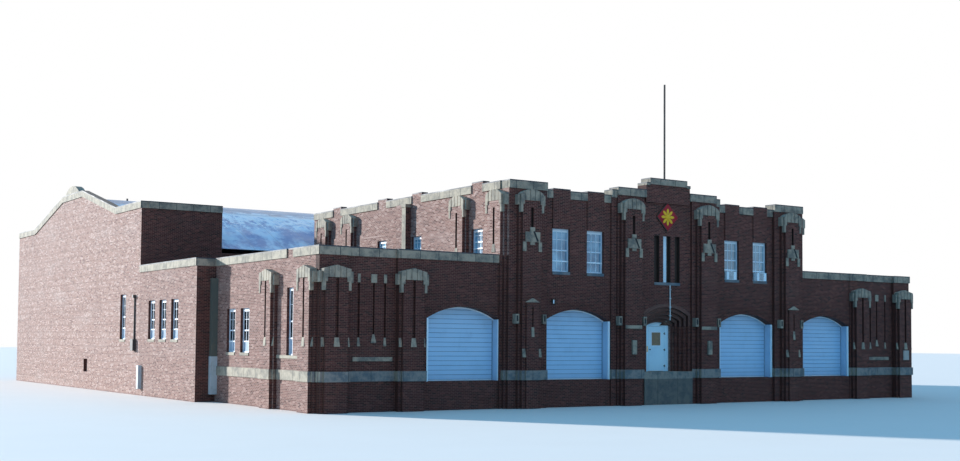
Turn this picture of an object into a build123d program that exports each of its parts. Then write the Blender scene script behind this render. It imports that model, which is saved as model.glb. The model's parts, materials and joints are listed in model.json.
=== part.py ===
from build123d import *
import os

# A brick armory as a scale model: a two-storey head house, a one-storey wing on each side of it,
# and a drill hall with a vaulted roof behind. Millimetres, at half of the real building's size.
# X runs along the front, Y from the front towards the back, Z up. While the pieces are made, Y is 0 on the
# front face of the head house piers and Z is 0 on the paving; place() then moves the origin to the middle
# of the footprint, on the lowest ground.

# Levels
foundation_depth = 600
course_bottom = 15
course_top = 220
lobby_level = 165
floor_thickness = 100
upper_floor_level = 1975
wing_top = 2710
house_top = 4335
bay_top = 4200
merlon_rise = 35
side_merlon_rise = 65
hall_eave = 3120
hall_crown = 4830
tower_top = 4370
gable_top = 5130
gable_cap_half = 700
gable_cap_rise = 220
roof_drop = 375
coping_height = 185
coping_lip = 25
step_coping = 65
peak_coping = 150
cap_thickness = 24

# Head house plan
house_back = 9245
back_wall = 165
wall = 175
front_thickness = 235
bay_set = 75
corner_pier = 1025
house_bay_margin = 25
inner_pier_width = 795
inner_pier_step = 150
inner_pier_top = 4395
peak_half = 580
peak_step = 105
peak_top = 4680
peak_drop = 110
portal_set = 50

# Wing plan
wing_bay_margin = 145
wing_inner_pier = 665
wing_panel_width = 1135
wing_outer_pier = 640
wing_depth = 5475
bay_step = 470
wing_garage_set = 175
wing_pier_set = 160
wing_panel_set = 235

# Hall plan
hall_depth = 12500
tower_length = 2185
tower_depth = 2080
gable_slope = 3150
roof_thickness = 125

# Openings
garage_width = 1830
garage_spring = 1310
garage_rise = 250
wing_garage_clearance = 105
garage_lap = 40
garage_lining = 20
window_width = 485
window_sill = 2390
window_head = 3345
window_offset = 485
slot_half = 400
slot_width = 160
slot_middle = 230
slot_sill = 2250
side_window_ys = [1240, 3875, 5570, 8040]
side_window_width = 450
side_window_sill = 2760
wing_window_width = 475
wing_window_ys = [3775, 4550]
wing_window_sill = 550
wing_window_head = 1525
tall_window_y = 1475
tall_window_width = 300
tall_window_sill = 520
tall_window_head = 1910
bay_window_ys = [6875, 7700, 8500]
bay_window_sill = 825
bay_window_head = 1790
hall_window_inset = 1340
hall_window_sill = 815
hall_window_head = 1995
vent_inset = 4615
vent_width = 350
vent_sill = -115
vent_head = 255
vent_recess = 90
frame_depth = 50
frame_bar = 30
frame_set = 60
glass_thickness = 10
sill_height = 65
sill_lip = 15

# Entrance
portal_half = 750
portal_centre = 406
portal_crown = 1758
jamb_top = 1230
ring_count = 5
ring_step = 75
ring_drop = 87
ring_depth = 74
door_width = 500
door_height = 1050
door_thickness = 25
door_gap = 6
door_frame_depth = 70
hinge_heights = [125, 505, 890]
hinge_radius = 8
hinge_pin_radius = 4
hinge_length = 50
hinge_plate = 30
hinge_plate_thickness = 3
hinge_clearance = 0.3
knob_radius = 15
knob_depth = 24
knob_height = 510
knob_inset = 40

# Buttresses and the stones on them
buttress_half = 250
buttress_reach = 140
shoulder_half = 310
shoulder_reach = 70
slot_groove = 70
groove_depth = 50
hood_height = 245
hood_rise = 120
hood_reach = 160
drop_length = 260
side_stone_width = 60
side_stone_reach = 115
side_stone_drop = 100
side_stone_rise = 120
house_hood_top = 4135
house_groove = (3280, 3740)
house_side_groove = (2945, 3740)
corner_buttress_inset = 520
inner_buttress_inset = 428
house_side_ys = [380, 1885, 7240, 8705]
plain_buttress_y = 4385
plain_buttress_half = 232
wing_hood_top = 2320
wing_hood_rise = 80
wing_groove_low = 890
wing_buttress_insets = (360, 328)
wing_side_ys = [560, 2390]
panel_slot_offsets = [252, 513, 856]
panel_slot_lows = [894, 961, 894]
panel_slot_width = 45
panel_slot_high = 2000
panel_stone_widths = [67, 130, 60]
panel_stone_height = 175
panel_foot_widths = [67, 121, 67]
panel_foot_height = 173
panel_strip = (75, 985, 420, 505)

# Carved stones on the house front
carving_reach = 175
carving_half = 190
carving_low = 2990
carving_high = 3205
carving_crest = 105
carving_crest_half = 62
ear_outer = 250
ear_inner = 165
ear_low = 2785
shield_inner = 320
shield_outer = 410
shield_reach = 120
shield_low = 1225
shield_high = 1430
strip_half = 165
strip_reach = 180
strip_top = 1685
strip_groove = (1150, 1580)
gablet_rise = 90
gablet_lip = 15
tongue_half = 35
tongue_low = 940
cap_stone_low = 505
cap_stone_high = 685
impost_half = 245
impost_low = 1155
impost_height = 75
plaque_half = 62
plaque_low = 565
plaque_high = 890
plaque_thickness = 45
foot_stone_half = 67
foot_stone_top_half = 47
foot_stone_height = 180
shoulder_stone_reach = 35

# Fittings
pole_radius = 25
pole_top = 6950
emblem_half = 320
emblem_z = 3790
emblem_thickness = 30
conduit_radius = 12
conduit_x = 90
conduit_low = 1350
lamp_radius = 45
lamp_height = 60
lamp_x = -60
wall_lamp_inset = 210
wall_lamp_z = 1725
wall_lamp_size = 55
cooler_width = 320
cooler_height = 200
cooler_reach = 70
duct_size = 140
duct_low = 445
duct_top = 2240
duct_cabinet_low = -425
duct_cabinet_size = 150
meter_cabinet_inset = 165
meter_cabinet_width = 130
meter_cabinet_depth = 90
meter_cabinet_low = -435
meter_cabinet_top = 160
meter_inset = 340
meter_low = 525
meter_size = (90, 200, 300)
mast_radius = 20
mast_top = 1880
vent_pipe_inset = 1636
vent_pipe_radius = 30
vent_pipe_height = 140

# Places that follow from the widths along the front and the depths behind it
inner_pier_out = portal_half + inner_pier_width
bay_in = inner_pier_out + inner_pier_step
corner_in = bay_in + garage_width + house_bay_margin
house_half = corner_in + corner_pier
wing_pier_in = house_half + garage_width + wing_bay_margin
wing_panel_in = wing_pier_in + wing_inner_pier
wing_panel_out = wing_panel_in + wing_panel_width
wing_half = wing_panel_out + wing_outer_pier
bay_half = wing_half + bay_step
house_garage_x = (bay_in + corner_in) / 2
wing_garage_x = house_half + wing_garage_clearance + garage_width / 2
window_xs = [house_garage_x - window_offset, house_garage_x + window_offset]
inner_buttress_x = portal_half + inner_buttress_inset
corner_buttress_x = house_half - corner_buttress_inset
wing_buttress_xs = [wing_pier_in + wing_buttress_insets[0], wing_half - wing_buttress_insets[1]]
panel_slot_xs = [wing_panel_in + offset for offset in panel_slot_offsets]
hall_front = house_back + back_wall
hall_back = hall_front + hall_depth
hall_window_y = hall_front + hall_window_inset
vent_y = hall_front + vent_inset
meter_y = hall_front + meter_inset
meter_cabinet_y = hall_front - meter_cabinet_inset
front_back = bay_set + front_thickness
wing_front_back = wing_garage_set + front_thickness
portal_back = portal_set + ring_count * ring_depth
house_hood_foot = house_hood_top - hood_height
wing_hood_foot = wing_hood_top - hood_height
lower_wall_top = wing_top - roof_drop
base = -foundation_depth
left, right = -1, 1

parts = {}


def block(x0, x1, y0, y1, z0, z1):
    """A box between two corners, given in any order along each axis."""
    size = Box(abs(x1 - x0), abs(y1 - y0), abs(z1 - z0))
    return Pos((x0 + x1) / 2, (y0 + y1) / 2, (z0 + z1) / 2) * size


def arched(centre, width, bottom, spring, rise, y0, y1):
    """A solid with a segmental arched head that runs along Y."""
    half = width / 2
    spring_left, spring_right = (centre - half, spring), (centre + half, spring)
    head = ThreePointArc(spring_right, (centre, spring + rise), spring_left)
    if bottom < spring:
        sides = Polyline(spring_left, (centre - half, bottom), (centre + half, bottom), spring_right)
    else:
        sides = Line(spring_left, spring_right)
    face = make_face(Plane.XZ.offset(-y1) * (head + sides))
    return extrude(face, amount=y1 - y0, dir=(0, -1, 0))


def front_profile(points, y0, y1):
    """Extrudes an outline drawn in X and Z between two Y positions."""
    face = make_face(Plane.XZ.offset(-y1) * Polyline(*points, close=True))
    return extrude(face, amount=y1 - y0, dir=(0, -1, 0))


def end_profile(points, x0, x1):
    """Extrudes an outline drawn in Y and Z between two X positions."""
    face = make_face(Plane.YZ.offset(min(x0, x1)) * Polyline(*points, close=True))
    return extrude(face, amount=abs(x1 - x0), dir=(1, 0, 0))


def post(radius, height, sides=12, major=True):
    """An upright bar round the Z axis, nearly round; major is False where the radius is to its flats."""
    return extrude(RegularPolygon(radius, sides, major_radius=major), amount=height / 2, both=True)


def add(name, *solids):
    parts.setdefault(name, []).extend(solids)


def both(name, make):
    """Makes one like piece on the left side and one on the right."""
    for side, word in ((left, "left"), (right, "right")):
        add(name.format(word), make(side))


def on_side(side, face, y):
    """Where a piece made for the front stands on a left or right wall."""
    return Pos(face, y, 0) * Rot(0, 0, side * 90)


def buttress(low, top, groove=None, plain_half=None):
    """A stepped brick buttress against a wall face at Y 0, with a groove down its middle."""
    if plain_half:
        return block(-plain_half, plain_half, -buttress_reach, 0, low, top)
    body = block(-shoulder_half, shoulder_half, -shoulder_reach, 0, low, top)
    body += block(-buttress_half, buttress_half, -buttress_reach, 0, low, top)
    if groove:
        body -= grooved(slot_groove, -buttress_reach, *groove)
    return body


def grooved(width, face, low, high):
    """The space of a groove cut into a face that looks to the front."""
    return block(-width / 2, width / 2, face - groove_depth, face + groove_depth, low, high)


def lower_strip():
    """The narrow strip in front of a corner buttress, under its gablet stone."""
    strip = block(-strip_half, strip_half, -strip_reach, -buttress_reach, base, strip_top)
    return strip - grooved(slot_groove / 2, -strip_reach, *strip_groove)


def front_wall(side):
    """The head house front from a corner pier to the step beside an inner pier."""
    outer, inner = side * house_half, side * bay_in
    body = block(outer, inner, bay_set, front_back, base, bay_top - coping_height)
    pier_inner = side * corner_in
    body += block(outer, pier_inner, 0, front_back, base, house_top - coping_height)
    for x in window_xs:
        half = window_width / 2
        body += block(side * x - half, side * x + half, bay_set - coping_lip, front_back,
                      window_head, bay_top + merlon_rise - cap_thickness)
        body -= block(side * x - half, side * x + half, 0, front_back, window_sill - sill_height, window_head)
    body -= arched(side * house_garage_x, garage_width, 0, garage_spring, garage_rise, 0, front_back)
    body += Pos(side * corner_buttress_x, 0, 0) * (buttress(base, house_hood_foot, house_groove)
                                                   + lower_strip())
    corner = on_side(side, outer, house_side_ys[0]) * buttress(base, house_hood_foot, house_side_groove)
    corner -= block(outer, side * wing_half, wing_garage_set, house_back, base, wing_top)
    return body + (corner - block(outer, side * wing_half, wing_garage_set - coping_lip, house_back,
                                  wing_top - coping_height, wing_top))


def entrance_side(side):
    """An inner pier, with the step beside it, from the ground to the parapet."""
    outer, step = side * bay_in, side * inner_pier_out
    body = block(outer, step, bay_set / 2, front_back, base, inner_pier_top - step_coping - coping_height)
    body += block(step, side * portal_half, 0, front_back, base, inner_pier_top - coping_height)
    return body + Pos(side * inner_buttress_x, 0, 0) * buttress(base, house_hood_foot, house_groove)


def entrance_over():
    """The wall over the portal, with three slot windows and the stepped peak."""
    spring = ring_spring(0)
    body = block(-portal_half, portal_half, portal_set, front_back, spring, inner_pier_top - coping_height)
    edge = peak_half + peak_step
    body += block(-edge, edge, 0, front_back, emblem_z + emblem_half, peak_top - peak_drop - step_coping)
    body += block(-peak_half, peak_half, 0, front_back, emblem_z + emblem_half, peak_top - peak_coping)
    for x0, x1 in slot_spans():
        body -= block(x0, x1, 0, front_back, slot_sill, window_head)
    body -= block(-slot_half, slot_half, 0, bay_set + frame_set, slot_sill - sill_height, slot_sill)
    return body - arched(0, 2 * portal_half, base, spring, portal_crown - spring, 0, portal_back)


def slot_spans():
    middle = slot_middle / 2
    return [(-slot_half, -slot_half + slot_width), (-middle, middle), (slot_half - slot_width, slot_half)]


def ring_half(ring):
    return portal_half - ring * ring_step


def ring_spring(ring):
    """Where the curve of a ring's outer edge starts; all rings share one centre."""
    radius = portal_crown - ring * ring_drop - portal_centre
    return portal_centre + (radius ** 2 - ring_half(ring) ** 2) ** 0.5


def ring_arch(ring, bottom, y0, y1):
    """The solid inside a ring's outer edge, down to the given level."""
    spring = ring_spring(ring)
    return arched(0, 2 * ring_half(ring), bottom, spring, portal_crown - ring * ring_drop - spring, y0, y1)


def portal_rings():
    """Arch rings that step in and back towards the door."""
    rings = None
    for ring in range(ring_count):
        y0 = portal_set + ring * ring_depth
        ring_solid = ring_arch(0, jamb_top, y0, y0 + ring_depth)
        ring_solid -= ring_arch(ring + 1, lobby_level, y0 - ring_depth, y0 + 2 * ring_depth)
        rings = ring_solid if rings is None else rings + ring_solid
    return rings


def portal_jamb(side):
    """The stepped brick jamb under the arch rings on one side."""
    jamb = None
    for ring in range(ring_count):
        y0 = portal_set + ring * ring_depth
        piece = block(side * portal_half, side * ring_half(ring + 1), y0, y0 + ring_depth, lobby_level, jamb_top)
        jamb = piece if jamb is None else jamb + piece
    return jamb


def house_lower_wall(side):
    """The ground storey of a side wall of the head house, which is inside the wing."""
    face = side * house_half
    return block(face, face - side * wall, front_back, house_back, base, lower_wall_top)


def house_upper_wall(side):
    """The upper storey of a side wall, with windows, brick panels over them and buttresses."""
    face = side * house_half
    inner = face - side * wall
    body = block(face, inner, front_back, house_back, lower_wall_top, house_top - coping_height)
    for y in side_window_ys:
        half = side_window_width / 2
        body += block(face, inner, y - half, y + half, window_head, house_top + side_merlon_rise - cap_thickness)
        body -= block(face, inner, y - half, y + half, side_window_sill, window_head)
    for y in house_side_ys[1:]:
        body += on_side(side, face, y) * buttress(lower_wall_top, house_hood_foot, house_side_groove)
    return body + on_side(side, face, plain_buttress_y) * buttress(lower_wall_top, house_hood_top,
                                                                  plain_half=plain_buttress_half)


def house_back_wall():
    return block(-house_half, house_half, house_back, hall_front, base, house_top - coping_height)


def wing_front(side):
    """A wing's front wall: the garage bay, two brick piers with buttresses and a slotted panel between."""
    top = wing_top - coping_height
    body = block(side * house_half, side * wing_half, wing_panel_set, wing_front_back, base, top)
    body += block(side * house_half, side * wing_pier_in, wing_garage_set, wing_panel_set, base, top)
    body += block(side * wing_pier_in, side * wing_panel_in, wing_pier_set, wing_panel_set, base, top)
    body += block(side * wing_panel_out, side * wing_half, wing_pier_set, wing_panel_set, base, top)
    for x in wing_buttress_xs:
        body += Pos(side * x, wing_pier_set, 0) * buttress(base, wing_hood_foot,
                                                           (wing_groove_low, wing_hood_foot))
    for x, low in zip(panel_slot_xs, panel_slot_lows):
        body -= Pos(side * x, 0, 0) * grooved(panel_slot_width, wing_panel_set, low, panel_slot_high)
    body -= arched(side * wing_garage_x, garage_width, 0, garage_spring, garage_rise, 0, wing_front_back)
    return body


def wing_side(side):
    """A wing's side wall, with its windows, two buttresses and a brick panel in its coping."""
    face = side * wing_half
    inner = face - side * wall
    body = block(face, inner, wing_front_back, wing_depth, base, wing_top - coping_height)
    half = tall_window_width / 2
    body += block(face, inner, tall_window_y - half, tall_window_y + half, tall_window_head,
                  wing_top - cap_thickness)
    body -= block(face, inner, tall_window_y - half, tall_window_y + half,
                  tall_window_sill - sill_height, tall_window_head)
    half = wing_window_width / 2
    for y in wing_window_ys:
        body -= block(face, inner, y - half, y + half, wing_window_sill - sill_height, wing_window_head)
    for y in wing_side_ys:
        body += on_side(side, face, y) * buttress(base, wing_hood_foot, (wing_groove_low, wing_hood_foot))
    return body


def rear_bay(side):
    """The wider rear part of a wing, from its return wall to the hall."""
    face, inner = side * bay_half, side * (bay_half - wall)
    body = block(face, inner, wing_depth, hall_front, base, wing_top - coping_height)
    body += block(inner, side * (wing_half - wall), wing_depth, wing_depth + wall, base,
                  wing_top - coping_height)
    half = wing_window_width / 2
    for y in bay_window_ys:
        body -= block(face, inner, y - half, y + half, bay_window_sill - sill_height, bay_window_head)
    return body


def gable_line(top_offset):
    """Corners of the hall's end wall from front to back, as (y, z) pairs."""
    flat, slope = tower_depth, tower_depth + gable_slope
    low, high = tower_top - top_offset, gable_top - top_offset
    return [(hall_front, low), (hall_front + flat, low), (hall_front + slope, high),
            (hall_back - slope, high), (hall_back - flat, low), (hall_back, low)]


def hall_end(side):
    """An end wall of the hall, stepped and sloped like the roof behind it."""
    face, inner = side * bay_half, side * (bay_half - wall)
    points = [(hall_front, base)] + gable_line(coping_height) + [(hall_back, base)]
    body = end_profile(points, face, inner)
    half = side_window_width / 2
    body -= block(face, inner, hall_window_y - half, hall_window_y + half, hall_window_sill - sill_height,
                  hall_window_head)
    half = vent_width / 2
    return body - block(face, face - side * vent_recess, vent_y - half, vent_y + half, vent_sill, vent_head)


def hall_long_wall(y0, inner, side):
    """Half of a long hall wall: the low part under the eave and the corner tower's face."""
    edge = bay_half - wall
    body = block(side * inner, side * edge, y0, y0 + wall, base, hall_eave)
    body += block(side * (bay_half - tower_length), side * edge, y0, y0 + wall, hall_eave,
                  tower_top - coping_height)
    return body


def hall_roof():
    """The vaulted roof, a shell between the two end walls, notched at the corner towers."""
    middle = hall_front + hall_depth / 2

    def arc_face(lift):
        arc = ThreePointArc((hall_front, hall_eave + lift), (middle, hall_crown + lift),
                            (hall_back, hall_eave + lift))
        close = Line((hall_back, hall_eave + lift), (hall_front, hall_eave + lift))
        return make_face(Plane.YZ.offset(-bay_half + wall) * (arc + close))

    length = 2 * (bay_half - wall)
    shell = extrude(arc_face(roof_thickness), amount=length, dir=(1, 0, 0))
    shell -= extrude(arc_face(0), amount=length, dir=(1, 0, 0))
    notch = tower_depth + wall
    for side in (left, right):
        x0, x1 = side * bay_half, side * (bay_half - tower_length)
        shell -= block(x0, x1, hall_front, hall_front + notch, hall_eave, gable_top)
        shell -= block(x0, x1, hall_back - notch, hall_back, hall_eave, gable_top)
    return shell


def tower_walls():
    """Inner walls of the four corner towers, which rise beside the vault."""
    walls = []
    for side in (left, right):
        x0, x1 = side * (bay_half - tower_length), side * (bay_half - tower_length + wall)
        edge = side * (bay_half - wall)
        for y0, y1, y2 in ((hall_front + wall, hall_front + tower_depth, hall_front + tower_depth + wall),
                           (hall_back - wall, hall_back - tower_depth, hall_back - tower_depth - wall)):
            corner = block(x0, x1, y0, y2, hall_eave, tower_top - coping_height)
            corner += block(x0, edge, y1, y2, hall_eave, tower_top - coping_height)
            walls.append(corner)
    return walls


def tower_roofs():
    roofs = []
    top = tower_top - roof_drop
    for side in (left, right):
        x0, x1 = side * (bay_half - tower_length + wall), side * (bay_half - wall)
        for y0, y1 in ((hall_front + wall, hall_front + tower_depth),
                       (hall_back - tower_depth, hall_back - wall)):
            roofs.append(block(x0, x1, y0, y1, top - floor_thickness, top))
    return roofs


def house_slab(top):
    edge = house_half - wall
    return block(-edge, edge, front_back, house_back, top - floor_thickness, top)


def wing_slab(side, top):
    """A slab that fills one wing and the wider bay behind it."""
    low = top - floor_thickness
    inner = side * house_half
    slab = block(inner, side * (wing_half - wall), wing_front_back, hall_front, low, top)
    return slab + block(inner, side * (bay_half - wall), wing_depth + wall, hall_front, low, top)


def ground_floor():
    """Slabs of the house, wings and hall, with the raised lobby behind the entrance."""
    edge = bay_half - wall
    house = house_slab(0) - entrance_step()
    house += block(-portal_half, portal_half, portal_back, house_back, -floor_thickness, lobby_level)
    hall = block(-edge, edge, hall_front + wall, hall_back - wall, -floor_thickness, 0)
    return [house, hall] + [wing_slab(side, 0) for side in (left, right)]


def entrance_step():
    return block(-portal_half, portal_half, -coping_lip, portal_back, base, lobby_level)


def door_frame():
    """The frame that fills the innermost ring, round the leaf."""
    y0 = portal_back
    body = ring_arch(ring_count, lobby_level, y0, y0 + door_frame_depth)
    opening = door_width / 2 + door_gap
    top = lobby_level + door_height + 2 * door_gap
    return body - block(-opening, opening, y0, y0 + door_frame_depth, lobby_level, top)


def entrance_door():
    half = door_width / 2
    bottom = lobby_level + door_gap
    return block(-half, half, portal_back, portal_back + door_thickness, bottom, bottom + door_height)


def hinge_place(height):
    """The middle of one hinge on its axis, just in front of the leaf's outer face."""
    return Pos(door_width / 2 + door_gap / 2, portal_back - hinge_radius - hinge_clearance, lobby_level + height)


def knuckle(low, high):
    return Pos(0, 0, (low + high) / 2) * post(hinge_radius, high - low)


def frame_hinge():
    """The frame's half of a hinge: an upper and a lower knuckle on a plate each, joined by the pin."""
    third = hinge_length / 3
    face = hinge_radius + hinge_clearance
    body = Cylinder(hinge_pin_radius, hinge_length)
    for low in (-hinge_length / 2, hinge_length / 2 - third):
        body += knuckle(low, low + third)
        body += block(0, hinge_plate, face - hinge_plate_thickness, face, low, low + third)
    return body


def leaf_hinge():
    """The leaf's half of a hinge: the middle knuckle, bored for the pin, on its plate."""
    half = hinge_length / 6 - hinge_clearance
    face = hinge_radius + hinge_clearance
    body = knuckle(-half, half) + block(-hinge_plate, 0, face - hinge_plate_thickness, face, -half, half)
    return body - post(hinge_pin_radius + hinge_clearance, hinge_length, major=False)


def door_hardware():
    """Everything that is screwed to the leaf: three hinge halves and the knob."""
    pieces = [hinge_place(height) * leaf_hinge() for height in hinge_heights]
    x, z = -door_width / 2 + knob_inset, lobby_level + knob_height
    neck = Pos(x, portal_back - knob_depth / 2, z) * Rot(90, 0, 0) * post(knob_radius / 2, knob_depth)
    grip = Pos(x, portal_back - knob_depth, z) * Rot(90, 0, 0) * post(knob_radius, knob_depth / 2)
    return pieces + [neck + grip]


def window_frame(width, z0, z1):
    """A framed sash with a meeting rail, standing in the XZ plane with its face at Y 0."""
    half = width / 2
    body = block(-half, half, 0, frame_depth, z0, z1)
    middle = (z0 + z1) / 2
    for low, high in ((z0 + frame_bar, middle - frame_bar / 2), (middle + frame_bar / 2, z1 - frame_bar)):
        body -= block(-half + frame_bar, half - frame_bar, 0, frame_depth, low, high)
    return body


def pane(width, z0, z1):
    """The glass of a window frame, in the two lights beside its meeting rail."""
    half = width / 2 - frame_bar
    y0 = (frame_depth - glass_thickness) / 2
    middle = (z0 + z1) / 2
    return [block(-half, half, y0, y0 + glass_thickness, low, high)
            for low, high in ((z0 + frame_bar, middle - frame_bar / 2), (middle + frame_bar / 2, z1 - frame_bar))]


def window(storey, place, width, z0, z1):
    """Adds a frame and its glass, made facing the front and then moved to a wall."""
    add(storey + "_windows", place * window_frame(width, z0, z1))
    add(storey + "_glass", *[place * sheet for sheet in pane(width, z0, z1)])


def windows():
    for side in (left, right):
        for x in window_xs:
            window("upper", Pos(side * x, bay_set + frame_set, 0), window_width, window_sill, window_head)
        face = side * (house_half - frame_set)
        for y in side_window_ys:
            window("upper", on_side(side, face, y), side_window_width, side_window_sill, window_head)
        face = side * (wing_half - frame_set)
        window("lower", on_side(side, face, tall_window_y), tall_window_width, tall_window_sill,
               tall_window_head)
        for y in wing_window_ys:
            window("lower", on_side(side, face, y), wing_window_width, wing_window_sill, wing_window_head)
        face = side * (bay_half - frame_set)
        for y in bay_window_ys:
            window("lower", on_side(side, face, y), wing_window_width, bay_window_sill, bay_window_head)
        window("lower", on_side(side, face, hall_window_y), side_window_width, hall_window_sill,
               hall_window_head)
    for x0, x1 in slot_spans():
        window("upper", Pos((x0 + x1) / 2, bay_set + frame_set, 0), x1 - x0, slot_sill, window_head)


def garage(centre, face, back):
    """A closed sectional door that laps the back of its opening, and the boards that line the jambs."""
    half = garage_width / 2
    add("garage_doors", block(centre - half - garage_lap, centre + half + garage_lap, back, back + frame_depth,
                              0, garage_spring + garage_rise + garage_lap))
    for edge, inner in ((centre - half, centre - half + garage_lining), (centre + half, centre + half - garage_lining)):
        add("garage_linings", block(edge, inner, face, back, 0, garage_spring))


def hood(foot, head):
    """A stone hood on a buttress: its head, a drop under each end and a lower stone at each side."""
    for side in (left, right):
        head += block(side * buttress_half, side * shoulder_half, -hood_reach, -shoulder_reach,
                      foot - drop_length, foot)
        head += block(side * shoulder_half, side * (shoulder_half + side_stone_width), -side_stone_reach, 0,
                      foot - side_stone_drop, foot + side_stone_rise)
    return head


def arched_hood():
    steps = [step / 3 for step in range(-3, 4)]
    points = [(shoulder_half * step, house_hood_top - hood_rise * step ** 2) for step in steps]
    points += [(shoulder_half, house_hood_foot), (-shoulder_half, house_hood_foot)]
    return hood(house_hood_foot, front_profile(points, -hood_reach, 0))


def gabled_hood():
    low, high = wing_hood_top - wing_hood_rise, wing_hood_top
    head = front_profile([(-shoulder_half, wing_hood_foot), (shoulder_half, wing_hood_foot),
                          (shoulder_half, low), (0, high), (-shoulder_half, low)], -hood_reach, 0)
    return hood(wing_hood_foot, head)


def hoods():
    for side in (left, right):
        for x in (inner_buttress_x, corner_buttress_x):
            add("stone_hoods", Pos(side * x, 0, 0) * arched_hood())
        for y in house_side_ys:
            add("stone_hoods", on_side(side, side * house_half, y) * arched_hood())
        for x in wing_buttress_xs:
            add("stone_hoods", Pos(side * x, wing_pier_set, 0) * gabled_hood())
        for y in wing_side_ys:
            add("stone_hoods", on_side(side, side * wing_half, y) * gabled_hood())


def sloped_stone(x0, x1, face, reach, low, high):
    """A stone that stands out from a face at its foot and slopes back to it at its top."""
    return end_profile([(face, low), (face - reach, low), (face, high)], x0, x1)


def foot_stone(half, top_half, face, low, high):
    """A stone at the foot of a groove, which narrows and slopes back to its top."""
    front = front_profile([(-half, low), (half, low), (top_half, high), (-top_half, high)], face - gablet_lip, face)
    return front & sloped_stone(-half, half, face, gablet_lip, low, high)


def groove_foot(high):
    """The foot stone of a buttress's groove."""
    return foot_stone(foot_stone_half, foot_stone_top_half, -buttress_reach, high - foot_stone_height, high)


def shoulder_stones():
    """The sloped stones on both shoulders of a wing buttress, level with its groove's foot."""
    return [sloped_stone(side * buttress_half, side * shoulder_half, -shoulder_reach, shoulder_stone_reach,
                         wing_groove_low - foot_stone_height, wing_groove_low) for side in (left, right)]


def carving():
    """The stepped stones under a hood's groove: a crest on a wide block, and two ears below."""
    body = block(-carving_half, carving_half, -carving_reach, -buttress_reach, carving_low, carving_high)
    body += block(-carving_crest_half, carving_crest_half, -hood_reach, -buttress_reach,
                  carving_low - carving_crest_half, carving_high + carving_crest)
    for side in (left, right):
        body += block(side * ear_inner, side * ear_outer, -hood_reach, -buttress_reach, ear_low, carving_low)
    return [body]


def shields():
    return [block(side * shield_inner, side * shield_outer, -shield_reach, 0, shield_low, shield_high)
            for side in (left, right)]


def strip_stones():
    """The gablet, groove foot and two cap stones of a corner buttress's lower strip."""
    reach = strip_reach + gablet_lip
    half = strip_half + gablet_lip
    stones = [front_profile([(-half, strip_top), (half, strip_top), (0, strip_top + gablet_rise)], -reach,
                            -buttress_reach)]
    stones.append(sloped_stone(-tongue_half, tongue_half, -strip_reach, gablet_lip, tongue_low, strip_groove[0]))
    for side in (left, right):
        stones.append(sloped_stone(side * strip_half, side * buttress_half, -buttress_reach, carving_reach
                                   - buttress_reach, cap_stone_low, cap_stone_high))
    return stones


def entrance_stones():
    """The impost band and the bare plaque on an inner buttress."""
    face = -buttress_reach
    return [block(-impost_half, impost_half, face - gablet_lip, face, impost_low, impost_low + impost_height),
            block(-plaque_half, plaque_half, face - plaque_thickness, face, plaque_low, plaque_high)]


def panel_stones():
    """The stones over and under the slots of a wing's front panel, and the band below them."""
    stones = []
    for x, low, width, foot_width in zip(panel_slot_xs, panel_slot_lows, panel_stone_widths, panel_foot_widths):
        stones.append(block(x - width / 2, x + width / 2, wing_panel_set - gablet_lip, wing_panel_set,
                            panel_slot_high, panel_slot_high + panel_stone_height))
        stones.append(Pos(x, 0, 0) * foot_stone(foot_width / 2, panel_slot_width / 2, wing_panel_set,
                                                low - panel_foot_height, low))
    x0, x1, low, high = panel_strip
    return stones + [block(wing_panel_in + x0, wing_panel_in + x1, wing_panel_set - gablet_lip, wing_panel_set, low, high)]


def ornaments():
    for side in (left, right):
        inner, corner = Pos(side * inner_buttress_x, 0, 0), Pos(side * corner_buttress_x, 0, 0)
        for place in (inner, corner):
            add("carved_stones", *[place * stone for stone in carving() + shields()])
        add("carved_stones", *[corner * stone for stone in strip_stones()])
        add("carved_stones", *[inner * stone for stone in entrance_stones()])
        places = [Pos(side * x, wing_pier_set, 0) for x in wing_buttress_xs]
        places += [on_side(side, side * wing_half, y) for y in wing_side_ys]
        for place in places:
            add("carved_stones", *[place * stone for stone in [groove_foot(wing_groove_low)] + shoulder_stones()])
        for y in house_side_ys:
            add("carved_stones", on_side(side, side * house_half, y) * groove_foot(house_side_groove[0]))
        add("carved_stones", *[mirror(stone, Plane.YZ) if side == left else stone for stone in panel_stones()])


def cope(node, x0, x1, y0, y1, top, height=coping_height):
    """A run of stone coping with its metal cap."""
    add(node, block(x0, x1, y0, y1, top - height, top - cap_thickness))
    add("parapet_caps", block(x0, x1, y0, y1, top - cap_thickness, top))


def cap(x0, x1, y0, y1, top):
    add("parapet_caps", block(x0, x1, y0, y1, top - cap_thickness, top))


def house_coping():
    """Coping on the head house parapets, broken by the brick panels over the windows."""
    half = window_width / 2
    for side in (left, right):
        pier, outer = side * corner_in, side * house_half
        cope("house_coping", outer, pier, -coping_lip, front_back, house_top)
        edges = [corner_in]
        for x in reversed(window_xs):
            edges += [x + half, x - half]
            cap(side * x - half, side * x + half, bay_set - coping_lip, front_back, bay_top + merlon_rise)
        edges.append(bay_in)
        for a, b in zip(edges[0::2], edges[1::2]):
            cope("house_coping", side * a, side * b, bay_set - coping_lip, front_back, bay_top)
        cope("house_coping", side * bay_in, side * inner_pier_out, bay_set / 2 - coping_lip, front_back,
             inner_pier_top - step_coping)
        edge = peak_half + peak_step
        cope("house_coping", side * inner_pier_out, side * edge, -coping_lip, front_back, inner_pier_top)
        cope("house_coping", side * edge, side * peak_half, -coping_lip, front_back, peak_top - peak_drop,
             step_coping)
        side_coping(side)
    cope("house_coping", -peak_half, peak_half, -coping_lip, front_back, peak_top, peak_coping)
    edge = house_half - wall
    cope("house_coping", -edge, edge, house_back, hall_front, house_top)


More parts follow.
